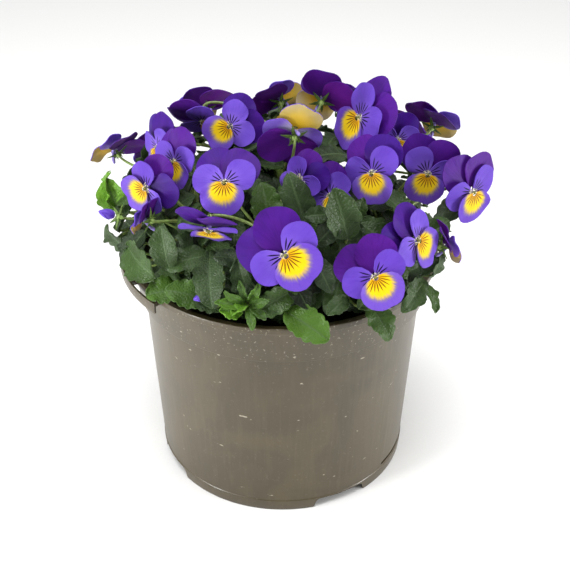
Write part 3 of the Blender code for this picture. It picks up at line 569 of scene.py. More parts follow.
@dataclass(frozen=True)
class MouldedPolypropylene(Finish):
    """Injection-moulded recycled polypropylene: satin taupe, flow-marked, scuffed pale by handling.

    Low, broad gloss comes from a roughness near 0.4; dried water and soil leave specks.
    """

    def surface(self, tree: Tree) -> Surface:
        """Colour, relief (0 to 1) and its depth in metres.

        Args:
            tree: The material's node tree.

        Returns:
            The three, in that order.
        """
        place = add(tree, "TexCoord", out="Object")
        drift = {"Vector": place, "Scale": 1 / (38 * MM), "Detail": 3.0, "Distortion": 1.2}
        flow = add(tree, "TexNoise", drift)
        flow = add(tree, "MapRange", {0: flow, 1: 0.35, 2: 0.65})
        colour = add(tree, "Mix", {0: flow, 6: "#372e19", 7: "#413720"}, 2, data_type="RGBA")
        drawn = add(tree, "Mapping", {"Vector": place, "Scale": (1.0, 1.0, 0.08)})
        drag = add(tree, "TexNoise", {"Vector": drawn, "Scale": 1 / (2.5 * MM), "Detail": 3.0})
        line = add(tree, "MapRange", {0: drag, 1: 0.5, 2: 0.72, 4: 0.16})
        colour = add(tree, "Mix", {0: line, 6: colour, 7: "#5a5038"}, 2, data_type="RGBA")
        squashed = add(tree, "Mapping", {"Vector": place, "Scale": (1.0, 1.0, 2.2)})
        rub = {"Vector": squashed, "Scale": 1 / (7 * MM), "Detail": 2.0, "Roughness": 0.7}
        scuff = add(tree, "TexNoise", rub)
        scuff = add(tree, "MapRange", {0: scuff, 1: 0.71, 2: 0.76, 4: 0.6})
        colour = add(tree, "Mix", {0: scuff, 6: colour, 7: "#b3aa97"}, 2, data_type="RGBA")
        speck = add(tree, "TexNoise", {"Vector": place, "Scale": 1 / (1.5 * MM), "Detail": 1.0})
        speck = add(tree, "MapRange", {0: speck, 1: 0.66, 2: 0.72})
        level = add(tree, "SeparateXYZ", {0: place}, 2)
        band = add(tree, "MapRange", {0: level, 1: 98 * MM, 2: 116 * MM, 3: 0.03, 4: 0.22})
        speck = add(tree, "Math", {0: speck, 1: band}, operation="MULTIPLY")
        colour = add(tree, "Mix", {0: speck, 6: colour, 7: "#c2bba9"}, 2, data_type="RGBA")
        foot = add(tree, "MapRange", {0: level, 1: 2.2 * MM, 2: 0.4 * MM, 4: 0.75})
        colour = add(tree, "Mix", {0: foot, 6: colour, 7: "#3f382b"}, 2, data_type="RGBA")
        height = add(tree, "Math", {0: speck, 1: 1.5, 2: drag}, operation="MULTIPLY_ADD")
        return colour, height, 0.06 * MM


@dataclass(frozen=True)
class PlainTissue(Finish):
    """A small fleshy part of a flower, of two mottled colours."""

    colours: tuple[str, str] = ("#c9c46a", "#8a9440")

    def surface(self, tree: Tree) -> Surface:
        """Colour, relief (0 to 1) and its depth in metres.

        Args:
            tree: The material's node tree.

        Returns:
            The three, in that order.
        """
        place = add(tree, "TexCoord", out="Object")
        grain = add(tree, "TexNoise", {"Vector": place, "Scale": 1 / (1.0 * MM), "Detail": 2.0})
        first, second = self.colours
        colour = add(tree, "Mix", {0: grain, 6: first, 7: second}, 2, data_type="RGBA")
        return colour, grain, 0.05 * MM


@dataclass(frozen=True)
class StudioFloor(Finish):
    """Matt white seamless paper, with a faint tooth."""

    def surface(self, tree: Tree) -> Surface:
        """Colour, relief (0 to 1) and its depth in metres.

        Args:
            tree: The material's node tree.

        Returns:
            The three, in that order.
        """
        place = add(tree, "TexCoord", out="Object")
        tooth = add(tree, "TexNoise", {"Vector": place, "Scale": 1 / (1.5 * MM), "Detail": 2.0})
        colour = add(tree, "Mix", {0: tooth, 6: "#e9e9e8", 7: "#efefee"}, 2, data_type="RGBA")
        return colour, tooth, 0.02 * MM


class Tissue(Enum):
    """Every finish of the plant and its pot."""

    # Painted shade: the upper petal's heart is painted darker than its rim, so it darkens towards the throat.
    BANNER = PetalTissue(
        "upper petal, deep violet velvet", 0.5, glow="#9a18c8", glow_share=0.16,
        rim="#371076", heart="#20044c", warm="#4c147e", vein="#190344", veining=0.35, heart_reach=17.0,
    )
    BANNER_BACK = PetalTissue(
        "upper petal back, duller violet", 0.55, glow="#b428d8", glow_share=0.34,
        rim="#541888", heart="#542888", warm="#701e98", vein="#2c0c6c", veining=0.3, heart_reach=10.0,
    )
    LATERAL = PetalTissue(
        "side petal, lavender velvet", 0.5, glow="#9458e0", glow_share=0.16,
        rim="#6446b4", heart="#8062cc", warm="#5c3aaa", vein="#46289c", veining=0.35, heart_reach=12.0,
        rays=8.4, ray_spacing=18.0, ray_width=-0.2, ray_fan=0.66, ray_colour="#0d0620", claw=1.9,
    )
    LATERAL_BACK = PetalTissue(
        "side petal back, pale lavender", 0.55, glow="#9458e0", glow_share=0.2,
        rim="#8064cc", heart="#d0c8e4", warm="#7848c0", vein="#6246bc", heart_reach=11.0,
    )
    LOWER = PetalTissue(
        "lower petal, lavender with a yellow blotch", 0.5, glow="#b070d0", glow_share=0.16,
        rim="#684ab4", heart="#8066c0", warm="#5c3aac", vein="#4a2c9e", veining=0.3, heart_reach=14.0,
        blotch=11.8, rays=8.6, ray_spacing=16.0, ray_width=0.05, ray_fan=1.1, ray_colour="#5e2c04", claw=1.5,
    )
    # Painted light: the yellow over most of the lower petal's back stands for light through the yellow blotch
    # on its face, and its colours are painted brighter to light a back that lies in shade.
    LOWER_BACK = PetalTissue(
        "lower petal back, yellow, cream and lavender", 0.55, glow="#fff020", glow_share=0.5,
        rim="#ece2cc", heart="#fcd80c", warm="#f6dc50", vein="#d8c040", heart_reach=22.0,
    )
    SPUR = PlainTissue("nectar spur, violet", 0.5, colours=("#6a4fb8", "#8f86b4"))
    STIGMA = PlainTissue("stigma, green brown", 0.45, colours=("#7a7c28", "#4a3a12"))
    HAIR = PlainTissue("throat down, white", 0.6, colours=("#f4f0d8", "#e0d890"))
    LEAF = LeafTissue(
        "leaf upper side, waxy green under grey down", 0.42, glow="#7fb028", glow_share=0.08
    )
    LEAF_BACK = LeafTissue(
        "leaf underside, pale dull green", 0.6, ior=1.3, glow="#7fb028", glow_share=0.08,
        dark="#34462a", grey="#4b5e40", young="#7a9c40", rib="#70825a",
    )
    SEPAL = LeafTissue(
        "sepal and stipule, fresh green", 0.5, glow="#8fc030", glow_share=0.12,
        dark="#39501f", grey="#66803a", young="#8aa84a", rib="#8fa468", vein_pairs=1.0,
    )
    STALK = StalkSkin("stalk, soft green", 0.45)
    BUD = PlainTissue("bud, furled violet petals", 0.5, colours=("#3a1690", "#6a4ac4"))
    PEAT = PeatCompost("peat compost, damp crumbs darkened by painted shade", 0.95)
    POT = MouldedPolypropylene("polypropylene, injection-moulded taupe", 0.42, ior=1.5, coat=0.2)
    FLOOR = StudioFloor("paper, matt white", 0.9)


BANNER_TISSUES = (Tissue.BANNER, Tissue.BANNER_BACK)
FACE_TISSUES = (Tissue.LATERAL, Tissue.LATERAL_BACK, Tissue.LOWER, Tissue.LOWER_BACK)
FACE_TISSUES += (Tissue.SPUR, Tissue.STIGMA, Tissue.HAIR)
BLOOM_TISSUES = BANNER_TISSUES + FACE_TISSUES
BLADE_TISSUES = (Tissue.LEAF, Tissue.LEAF_BACK)
MATERIALS: dict[Tissue, bpy.types.Material] = {}


def finish(*tissues: Tissue) -> list[bpy.types.Material]:
    """The materials of some finishes, each made once.

    Args:
        *tissues: The finishes.

    Returns:
        Their materials, in the same order.
    """
    for tissue in tissues:
        if tissue not in MATERIALS:
            MATERIALS[tissue] = tissue.value.material()
    return [MATERIALS[tissue] for tissue in tissues]


# Plan of the plant


@dataclass(frozen=True)
class Petal:
    """One petal of a bloom, flat: turns and spreads in degrees, lengths in mm."""

    turn: float
    length: float
    spread: float
    layer: float
    slope: float
    notch: float = 0.0

    def point(self, length: float, share: float, depth: float, notch: float) -> tuple[float, float]:
        """A flat point at a share of the spread and a share of the way from the claw to the edge.

        Args:
            length: Length of the petal in metres.
            share: Turn from the middle, -1 to 1 of the spread.
            depth: 0 at the claw, 1 at the edge.
            notch: How deep the edge is notched in the middle.

        Returns:
            The point as (across, along) in metres.
        """
        spread = math.radians(self.spread)
        reach = length * depth * math.cos(share * math.pi / 2) ** PETAL_ROUNDNESS
        reach *= 1 - notch * math.exp(-((share / NOTCH_SHARE) ** 2))
        return reach * math.sin(share * spread), reach * math.cos(share * spread)


PETAL_ROUNDNESS = 0.45
NOTCH_SHARE = 0.12
PETAL_EDGE = 0.93
SIDE_TURNS = (-73, 73)
BANNER = (Petal(-33, 21.5, 66, -1.8, -0.14), Petal(33, 21.5, 66, -1.4, -0.03))
FACE = (
    Petal(SIDE_TURNS[0], 17, 62, 0.0, 0.0),
    Petal(SIDE_TURNS[1], 17, 62, 0.5, 0.02),
    Petal(180, 18, 90, 1.7, 0.12, 0.07),
)
# Pair between which each petal of a bloom bends back or forward, in radians
PETAL_BENDS = ((-0.5, -0.1), (-0.35, 0.0), (-0.2, 0.1), (-0.2, 0.1), (-0.5, -0.1))
PETAL_CUPS = (0.0, 0.08)
PETAL_WAVES = (0.2, 0.5)
SPUR_PATH = ((-1.9, -1.0), (-3.6, -1.9), (-4.7, -7.5))
CALYX_BACK = -6.0 * MM
CALYX_RING = -4.5 * MM
SEPALS = 5
SEPAL_REACH = 7 * MM


class Shape(NamedTuple):
    """How one petal bends, cups and waves."""

    bend: float
    cup: float
    wave: float
    phase: float


def petal_shapes(number: int) -> list[Shape]:
    """How each petal of a bloom is shaped, from a draw of its own.

    Args:
        number: The bloom's number, which seeds its draws.

    Returns:
        The shapes in the order upper left, upper right, left, right and lower.
    """
    draw = random.Random(SEED * 100 + number)
    return [
        Shape(
            draw.uniform(*bends),
            draw.uniform(*PETAL_CUPS),
            draw.uniform(*PETAL_WAVES),
            draw.uniform(0, 2 * math.pi),
        )
        for bends in PETAL_BENDS
    ]


@dataclass(frozen=True)
class Flower:
    """Where a bloom or bud is (mm), how it faces (degrees), its size, its shoot and side petals."""

    x: float
    y: float
    z: float
    yaw: float
    pitch: float
    roll: float
    size: float
    shoot: int
    sides: Pair = SIDE_TURNS

    def face(self) -> tuple[Petal, Petal, Petal]:
        """The left, the right and the lower petal of the face."""
        left, right, lower = FACE
        return replace(left, turn=self.sides[0]), replace(right, turn=self.sides[1]), lower

    def frame(self) -> tuple[Points, Points, Points, Points]:
        """Throat, then the directions right, up and forward, as who looks at the bloom sees them.

        Returns:
            The throat in metres and three unit vectors.
        """
        yaw, pitch, roll = (math.radians(angle) for angle in (self.yaw, self.pitch, self.roll))
        forward = np.array(
            (
                math.sin(yaw) * math.cos(pitch),
                -math.cos(yaw) * math.cos(pitch),
                math.sin(pitch),
            )
        )
        right = np.array((math.cos(yaw), math.sin(yaw), 0.0))
        up = np.cross(forward, right)
        turned_up = up * math.cos(roll) + right * math.sin(roll)
        turned_right = right * math.cos(roll) - up * math.sin(roll)
        return np.array((self.x, self.y, self.z)) * MM, turned_right, turned_up, forward

    def place(self, petal: Petal, shape: Shape, flat: Points) -> Points:
        """The places in space of a petal's flat points.

        Args:
            petal: The petal.
            shape: How it bends, cups and waves.
            flat: Points as (across, along) in metres.

        Returns:
            One point in space for each flat point.
        """
        throat, right, up, forward = self.frame()
        x, y = np.asarray(flat, float).T
        length = petal.length * MM * self.size
        turn = math.radians(petal.turn)
        outward = up * math.cos(turn) + right * math.sin(turn)
        across = right * math.cos(turn) - up * math.sin(turn)
        angle = shape.bend * y / length
        lift = petal.layer * MM + petal.slope * y + length * (1 - np.cos(angle)) / shape.bend
        lift += shape.cup * x * x / length * math.copysign(1, petal.slope)
        ripple = np.sin(3 * np.arctan2(x, y) + shape.phase) * (np.hypot(x, y) / length) ** 2
        lift += shape.wave * MM * ripple
        reach = length * np.sin(angle) / shape.bend
        return throat + np.outer(x, across) + np.outer(reach, outward) + np.outer(lift, forward)

    def cloud(self, number: int) -> Points:
        """Points all over the petals and the spur.

        Args:
            number: The bloom's number, which seeds its draws.

        Returns:
            The points.
        """
        throat, _, up, forward = self.frame()
        clouds = [[throat + (up * rise + forward * ahead) * MM for rise, ahead in SPUR_PATH]]
        for petal, shape in zip((*BANNER, *self.face()), petal_shapes(number)):
            length = petal.length * MM * self.size
            flat = [
                petal.point(length, share, depth, petal.notch)
                for depth in np.linspace(0.16, 1, 7)
                for share in np.linspace(-PETAL_EDGE, PETAL_EDGE, 3 + int(8 * depth))
            ]
            clouds.append(self.place(petal, shape, flat))
        return np.vstack(clouds)


BLOOMS = (
    Flower(1, -84, 173, 0, 22, -50, 1.05, 0, (-80, 92)),
    Flower(43, -82, 160, 0, 25, -30, 0.93, 1, (-80, 82)),
    Flower(64, -62, 168, 52, 18, -38, 0.9, 1, (-70, 72)),
    Flower(72, -28, 187, 4, 6, 14, 0.9, 2, (-46, 80)),
    Flower(43, -46, 196, -28, 14, -15, 0.9, 1, (-85, 52)),
    Flower(-27, -57, 196, -8, 40, 2, 0.92, 7, (-84, 58)),
    Flower(-53, -31, 195, -36, 10, -20, 0.8, 7, (-55, 88)),
    Flower(-66, -42, 186, -30, 5, 58, 0.8, 7, (-73, 98)),
    Flower(-94, 32, 174, -132, 40, -40, 0.85, 6),
    Flower(-42, 8, 200, 0, -40, -75, 0.9, 8),
    Flower(-26, -16, 207, -10, 20, 55, 0.8, 8, (-38, 60)),
    Flower(-2, 30, 205, 195, 30, 70, 0.85, 5),
    Flower(21, 18, 209, 170, 15, -35, 0.95, 8, (-60, 60)),
    Flower(6, -22, 207, 180, 20, 155, 0.95, 8),
    Flower(39, -10, 209, -60, 22, 28, 1.05, 3, (-45, 60)),
    Flower(59, -4, 195, 5, 0, 0, 0.68, 3),
    Flower(82, 22, 194, 150, 30, 0, 0.9, 3),
    Flower(94, -34, 180, 36, 2, 2, 0.95, 2, (-95, 58)),
    Flower(-64, -5, 191, -50, 0, -25, 0.85, 6),
    Flower(-34, -74, 181, -10, -50, 0, 0.85, 0, (-85, 73)),
    Flower(83, -46, 157, 112, 8, 0, 0.65, 2),
)
BACK_BLOOMS = (
    Flower(42, 64, 188, 165, 25, 10, 0.95, 4),
    Flower(2, 86, 174, 185, 20, -15, 1.0, 4),
    Flower(-46, 64, 186, 205, 22, 0, 0.95, 5),
    Flower(-76, 62, 160, 228, 12, 20, 0.9, 6),
    Flower(76, 62, 168, 135, 15, -10, 0.95, 3),
)
INNER_BLOOMS = (
    Flower(23, -46, 184, -15, 20, -40, 0.75, 0),
    Flower(9, -42, 191, -30, 15, 40, 0.66, 0),
    Flower(-68, -50, 174, -110, 10, 0, 0.55, 7),
)
BUDS = (
    Flower(-86, -36, 168, -60, 30, 0, 1.0, 7),
    Flower(-36, -76, 146, -70, -10, 0, 1.0, 7),
)


@dataclass(frozen=True)
class Stalk:
    """A flower's stalk: a smooth curve from the stem into the back of the calyx."""

    start: Points
    end: Points
    leave: Points
    arrive: Points

    def path(self, steps: int) -> list[Points]:
        """Points along the stalk."""
        return hermite(self.start, self.end, self.leave, self.arrive, steps)


def leaf_half_width(share: float | Points) -> float | Points:
    """Half the width of a leaf at a share of its length, for a width of 1."""
    return 0.5 * np.sin(math.pi * share**0.95) ** 0.55


@dataclass(frozen=True)
class Leaf:
    """A leaf: where its stalk starts, its blade's base and tip, its facing and width in metres."""

    anchor: Points
    base: Points
    tip: Points
    normal: Points
    width: float
    youth: float = 0.0

    def length(self) -> float:
        """Length of the blade."""
        return float(np.linalg.norm(self.tip - self.base))

    def place(self, flat: Points) -> Points:
        """The places in space of flat points; below the base Y runs down the stalk.

        Args:
            flat: Points as (across, along) in metres.

        Returns:
            One point in space for each flat point.
        """
        along_leaf = self.tip - self.base
        length = np.linalg.norm(along_leaf)
        outward = along_leaf / length
        across = unit(np.cross(outward, self.normal))
        normal = np.cross(across, outward)
        x, y = np.asarray(flat, float).T
        half = LEAF_DROOP / 2
        angle = LEAF_DROOP * (y / length - 0.5)
        middle = length * (np.sin(angle) + math.sin(half)) / (2 * math.sin(half))
        drop = length * (np.cos(angle) - math.cos(half)) / LEAF_DROOP + LEAF_FOLD * np.abs(x)
        blade = self.base + np.outer(x, across) + np.outer(middle, outward) + np.outer(drop, normal)
        down = self.anchor - self.base
        stalk = self.base + np.outer(-y / np.linalg.norm(down), down) + np.outer(x, across)
        return np.where(y[:, None] < 0, stalk, blade)

    def cloud(self) -> Points:
        """Points on the stalk away from the stem, then points all over the blade.

        Returns:
            The points.
        """
        length = np.linalg.norm(self.tip - self.base)
        stalk = np.linalg.norm(self.anchor - self.base)
        flat = [(0.0, -stalk * share) for share in np.linspace(0.01, 0.75, STALK_CLOUD_POINTS)]
        for share in np.linspace(0.1, 1.0, 1 + int(length / CLOUD_STEP)):
            half = self.width * leaf_half_width(min(share, TIP_SHARE))
            flat.extend((x, share * length) for x in np.linspace(-half, half, 2 + int(2 * half / CLOUD_STEP)))
        return self.place(flat)


LEAF_FOLD = 0.35
LEAF_DROOP = 0.7
TIP_SHARE = 0.97
CLOUD_STEP = 3 * MM
STALK_CLOUD_POINTS = 8


class Neighbours:
    """Points on what is already placed, so that a new piece can keep clear of it."""

    def __init__(self) -> None:
        """Start with no points."""
        self.clouds: dict[str, Points] = {}

    def add(self, node: str, points: Path | Points) -> None:
        """Remember points on a node.

        Args:
            node: Name of what they lie on.
            points: The points.
        """
        old = self.clouds.get(node)
        points = np.array(points)
        self.clouds[node] = points if old is None else np.vstack((old, points))

    def clear(
        self, points: Path | Points, gap: float, skip: Sequence[str] = (), only: Sequence[str] = ()
    ) -> bool:
        """Whether the points keep the gap to every node, or only to those named.

        Args:
            points: The points to test.
            gap: Least distance in metres.
            skip: Nodes to leave out.
            only: The nodes to test, or none for all of them.

        Returns:
            True if no point is nearer than the gap.
        """
        points = np.asarray(points)
        for node, cloud in self.clouds.items():
            if node in skip or (only and node not in only):
                continue
            near = cloud[np.all(cloud > points.min(0) - gap, 1) & np.all(cloud < points.max(0) + gap, 1)]
            if len(near) == 0:
                continue
            apart = np.linalg.norm(near[:, None] - points[None], axis=2)
            if apart.min() < gap:
                return False
        return True


# Shoots: azimuth in degrees, then root reach, tip reach and tip height in mm
SHOOTS = (
    (262, 38, 58, 172),
    (302, 38, 62, 172),
    (340, 38, 70, 172),
    (25, 38, 64, 176),
    (75, 36, 56, 174),
    (125, 36, 58, 174),
    (178, 38, 66, 174),
    (222, 38, 62, 172),
    (100, 4, 8, 192),
)
# Shoot, share of its stem, base and tip in mm, facing in degrees, width in mm and youth
HAND_LEAVES = (
    (0, 0.4, (1, -81, 140), (22, -90, 129), 15, 40, 17, 0.45),
    (1, 0.4, (41, -73, 140), (52, -85, 126), 25, 40, 14, 0.2),
    (7, 0.35, (-50, -62, 140), (-67, -66, 139), -20, 50, 15, 0.35),
    (7, 0.45, (-36, -68, 138), (-57, -70, 145), -10, 45, 15, 0.3),
    (7, 0.4, (-79, -28, 143), (-91, -28, 157), -60, 20, 15, 0.1),
    (6, 0.5, (-88, -8, 157), (-90, -12, 180), -75, 10, 14, 0.9),
    (0, 0.5, (-14, -76, 143), (-21, -74, 165), -20, 15, 12, 0.05),
    (7, 0.7, (-34, -60, 158), (-58, -60, 152), -5, 55, 14, 0.0),
    (1, 0.5, (70, -52, 141), (60, -68, 132), 40, 35, 13, 0.1),
    (0, 0.8, (33, -60, 157), (31, -54, 180), 10, 30, 15, 0.05),
    (0, 0.7, (5, -56, 162), (15, -52, 180), 20, 40, 14, 0.0),
    (0, 0.95, (-6, -50, 168), (-10, -40, 188), 0, 45, 16, 0.0),
    (8, 0.7, (-16, -20, 176), (-28, -36, 181), -20, 60, 15, 0.0),
    (8, 0.6, (10, -16, 172), (20, -38, 175), 10, 65, 16, 0.0),
    (8, 0.55, (-4, -18, 163), (-3, -42, 166), 0, 65, 16, 0.0),
    (8, 0.75, (22, -8, 178), (36, -26, 181), 30, 55, 15, 0.0),
    (0, 0.3, (-20, -80, 139), (-30, -85, 143), -10, 40, 9, 1.0),
)
# The same for the smaller leaves at the front, the last eight of them a young rosette over the rim
FRONT_LEAVES = (
    (1, 0.45, (31, -76, 144), (21, -86, 141), 10, 50, 9, 0.1),
    (1, 0.5, (70, -56, 140), (59, -67, 130), 20, 45, 10, 0.15),
    (2, 0.4, (71, -52, 137), (77, -59, 124), 50, 20, 8, 0.2),
    (2, 0.5, (75, -46, 137), (80, -44, 151), 50, 10, 9, 0.1),
    (0, 0.9, (22, -62, 182), (10, -66, 183), 10, 40, 9, 0.05),
    (1, 0.7, (31, -66, 171), (24, -62, 196), 0, 35, 17, 0.1),
    (0, 0.8, (12, -60, 174), (3, -57, 201), -10, 35, 16, 0.05),
    (0, 0.8, (16, -66, 168), (28, -64, 181), 5, 40, 11, 0.0),
    (1, 0.9, (33, -60, 177), (38, -58, 189), 20, 30, 8, 0.1),
    (0, 0.7, (14, -68, 162), (23, -79, 149), 15, 45, 12, 0.0),
    (0, 0.6, (-8, -68, 158), (-16, -80, 150), -15, 50, 12, 0.05),
    (0, 0.7, (-20, -70, 162), (-32, -74, 166), -20, 40, 9, 0.0),
    (0, 0.5, (4, -72, 152), (12, -84, 143), 10, 50, 11, 0.0),
    (6, 0.6, (-87, -10, 157), (-91, -12, 176), -5, 25, 17, 0.95),
    (2, 0.7, (78, -30, 160), (87, -26, 176), 30, 20, 14, 0.05),
    (2, 0.6, (70, -46, 160), (83, -40, 167), 25, 45, 12, 0.1),
    (7, 0.7, (-55, -62, 152), (-58, -58, 174), -15, 25, 15, 0.1),
    (0, 0.35, (-17, -80, 143), (-24, -89, 143), -20, 60, 6, 0.9),
    (0, 0.35, (-16, -80, 142), (-14, -90, 135), 0, 40, 5, 0.35),
    (0, 0.35, (-18, -80, 144), (-27, -85, 153), -30, 30, 5, 0.4),
    (0, 0.35, (-17, -80, 145), (-20, -82, 158), -10, 10, 4, 0.3),
    (0, 0.35, (-16, -80, 145), (-11, -83, 157), 15, 15, 5, 0.45),
    (0, 0.35, (-15, -80, 143), (-6, -86, 150), 25, 30, 5, 0.3),
    (0, 0.35, (-18, -81, 142), (-32, -86, 148), -30, 45, 6, 0.5),
    (0, 0.35, (-15, -81, 142), (-8, -89, 140), 20, 50, 5, 0.25),
)


@dataclass
class Planting:
    """The plan of the whole plant: stems, flower stalks and leaves, all clear of each other."""

    soil_top: float = 119 * MM
    stem_depth: float = 7 * MM
    stalk_starts: tuple = (0.7, 0.5, 0.85, 0.35, 0.95)
    stalk_pulls: tuple = (26 * MM, 40 * MM, 16 * MM)
    stalk_swings: tuple = (0, 9 * MM, -9 * MM, 16 * MM, -16 * MM)
    stalk_gap: float = 3.2 * MM
    own_flower_points: int = 8
    leaves: int = 78
    leaf_tries: int = 260
    leaf_gap: float = 3.4 * MM
    own_leaf_gap: float = 2.6 * MM
    golden_angle: float = math.radians(137.5)
    golden_step: float = 0.618
    lengths: Pair = (20 * MM, 30 * MM)
    width_shares: Pair = (0.5, 0.66)
    centre: Points = field(default_factory=lambda: np.array((0.0, 0.0, 122.0)) * MM)
    radii: Points = field(default_factory=lambda: np.array((106.0, 98.0, 88.0)) * MM)
    shell: Pair = (0.5, 0.93)
    rise: Pair = (0.04, 0.97)
    stalk_lengths: Pair = (8 * MM, 22 * MM)
    lowest_start: float = 0.25
    rim_height: float = 132 * MM
    rim_reach: float = (82 - 1.3 - 4) * MM
    rim_clearance: float = 4 * MM
    neighbours: Neighbours = field(default_factory=Neighbours)

    def stem_path(self, shoot: Sequence[float], steps: int = 4) -> list[Points]:
        """The middle line of a shoot's stem, from the bottom of its hole in the soil.

        Args:
            shoot: Its row of SHOOTS.
            steps: Stretches above the soil.

        Returns:
            Points from the foot to the tip.
        """
        azimuth, root, tip, height = shoot
        foot = polar(azimuth, root * MM, self.soil_top - self.stem_depth)
        collar = polar(azimuth, root * MM, self.soil_top + 2 * MM)
        end = polar(azimuth, tip * MM, height * MM)
        rise = UP * (end[2] - collar[2])
        lean = (end - collar) * 1.2
        return [foot, *hermite(collar, end, rise, lean, steps)]

    def flower_stalk(self, stem: Path, flower: Flower, shoot: str, node: str) -> Stalk:
        """A stalk from the stem that hooks into the back of a flower, the first that is clear.

        Args:
            stem: Path of the stem.
            flower: The flower.
            shoot: The stem's node.
            node: The flower's node.

        Returns:
            The stalk.
        """
        throat, _, _, forward = flower.frame()
        end = throat + forward * CALYX_BACK
        for swing in self.stalk_swings:
            for pull in self.stalk_pulls:
                for start_share in self.stalk_starts:
                    start = along(stem, start_share)
                    side = unit(np.cross(UP, end - start)) * swing * 3
                    leave = UP * np.linalg.norm(end - start) + side
                    stalk = Stalk(start, end, leave, forward * pull - side)
                    path = stalk.path(4)
                    fine = [along(path, share) for share in np.linspace(0.12, 1, 30)]
                    clear = self.neighbours.clear
                    far = fine[: -self.own_flower_points]
                    gap = self.stalk_gap
                    if clear(fine, gap, (shoot, node)) and clear(far, gap, only=(node,)):
                        return stalk
        raise ValueError(f"no clear stalk from {shoot} to {node}")

    def clear_of_rim(self, points: Points) -> bool:
        """Whether points lie above the soil and clear of the pot's rim.

        Args:
            points: The points to test.

        Returns:
            True if all of them are clear.
        """
        over_rim = points[:, 2] > self.rim_height + self.rim_clearance
        within_rim = np.hypot(points[:, 0], points[:, 1]) < self.rim_reach
        return bool(np.all((points[:, 2] > self.soil_top + self.rim_clearance) & (over_rim | within_rim)))

    def drawn_leaf(self, stems: Sequence[Path], number: int, draw: random.Random) -> tuple[int, Leaf]:
        """A leaf drawn on the mound's shell, on the stem nearest to it, and that stem's number.

        Args:
            stems: The stems' paths.
            number: The leaf's number, which sets its height and direction.
            draw: Source of the draws.

        Returns:
            The stem's number and the leaf.
        """
        low, high = self.rise
        rise = low + (high - low) * ((number * self.golden_step + draw.uniform(0, 0.1)) % 1)
        azimuth = number * self.golden_angle + draw.uniform(-0.5, 0.5)
        level = math.sqrt(1 - rise**2)
        out = np.array((math.cos(azimuth) * level, math.sin(azimuth) * level, rise))
        middle = self.centre + self.radii * out * draw.uniform(*self.shell)
        normal = unit(out + UP * draw.uniform(0.0, 0.9) + polar(draw.uniform(0, 360), 0.35, 0.0))
        side = unit(np.cross(UP, out))
        climb = np.cross(normal, side)
        swing = draw.gauss(0, 0.9)
        heading = unit(climb * math.cos(swing) + side * math.sin(swing))
        if rise < 0.3 and draw.random() < 0.6:
            heading = heading * (1, 1, -0.5)
        length = draw.uniform(*self.lengths)
        base = middle - heading * length / 2
        tip = base + unit(heading) * length
        pull = base - (out * 0.6 + UP * 0.5) * draw.uniform(*self.stalk_lengths)
        reaches = [
            (np.linalg.norm(along(stem, share) - pull), shoot, share)
            for shoot, stem in enumerate(stems)
            for share in np.linspace(self.lowest_start, 1.0, 16)
        ]
        _, shoot, share = min(reaches)
        anchor = along(stems[shoot], share)
        return shoot, Leaf(anchor, base, tip, normal, length * draw.uniform(*self.width_shares))

    def hand_leaf(self, stems: Sequence[Path], row: Sequence) -> tuple[int, Leaf]:
        """A leaf from its row of sizes, and the number of its stem.

        Args:
            stems: The stems' paths.
            row: Its row of HAND_LEAVES or FRONT_LEAVES.

        Returns:
            The stem's number and the leaf.
        """
        shoot, share, base, tip, yaw, pitch, width, youth = row
        normal = Flower(0, 0, 0, yaw, pitch, 0, 1, shoot).frame()[3]
        anchor = along(stems[shoot], share)
        return shoot, Leaf(anchor, np.array(base) * MM, np.array(tip) * MM, normal, width * MM, youth)

    def placed_leaves(self, stems: Sequence[Path]) -> list[list[Leaf]]:
        """The leaves of every shoot: the listed ones, then drawn ones that keep clear.

        Args:
            stems: The stems' paths.

        Returns:
            A list of leaves for each shoot.
        """
        leaves: list[list[Leaf]] = [[] for _ in SHOOTS]
        for row in HAND_LEAVES:
            shoot, leaf = self.hand_leaf(stems, row)
            leaves[shoot].append(leaf)
            self.neighbours.add(f"shoot_{shoot}", leaf.cloud())
        draw = random.Random(SEED)
        for number in range(self.leaves - len(HAND_LEAVES)):
            for _ in range(self.leaf_tries):
                shoot, leaf = self.drawn_leaf(stems, number, draw)
                node = f"shoot_{shoot}"
                cloud = leaf.cloud()
                blade = cloud[STALK_CLOUD_POINTS:]
                if not self.clear_of_rim(cloud):
                    continue
                clear = self.neighbours.clear
                if clear(cloud, self.leaf_gap, (node,)) and clear(blade, self.own_leaf_gap, only=(node,)):
                    leaves[shoot].append(leaf)
                    self.neighbours.add(node, cloud)
                    break
        return leaves

    def plan(self) -> tuple[list[list[Points]], list[list[tuple[Stalk, Flower]]], list[list[Leaf]]]:
        """Plan the plant.

        Returns:
            The stems' paths, then the stalks with their flowers and the leaves of each shoot.
        """
        flowers = [*BLOOMS, *BACK_BLOOMS, *BUDS]
        for number, bloom in enumerate((*BLOOMS, *BACK_BLOOMS), 1):
            self.neighbours.add(f"flower_{number}", bloom.cloud(number))
        for number, bud in enumerate(BUDS, len(flowers) - len(BUDS) + 1):
            throat, _, _, forward = bud.frame()
            self.neighbours.add(f"flower_{number}", [throat + forward * 9 * MM * t for t in (0, 0.5, 1)])
        stems = [self.stem_path(shoot) for shoot in SHOOTS]
        for shoot, stem in enumerate(stems):
            self.neighbours.add(f"shoot_{shoot}", [along(stem, share) for share in np.linspace(0, 1, 24)])
        stalks: list[list[tuple[Stalk, Flower]]] = [[] for _ in SHOOTS]
        for number, flower in enumerate(flowers, 1):
            node = f"shoot_{flower.shoot}"
            stalk = self.flower_stalk(stems[flower.shoot], flower, node, f"flower_{number}")
            stalks[flower.shoot].append((stalk, flower))
            self.neighbours.add(node, [along(stalk.path(4), share) for share in np.linspace(0, 1, 24)])
        return stems, stalks, self.placed_leaves(stems)


# Flowers


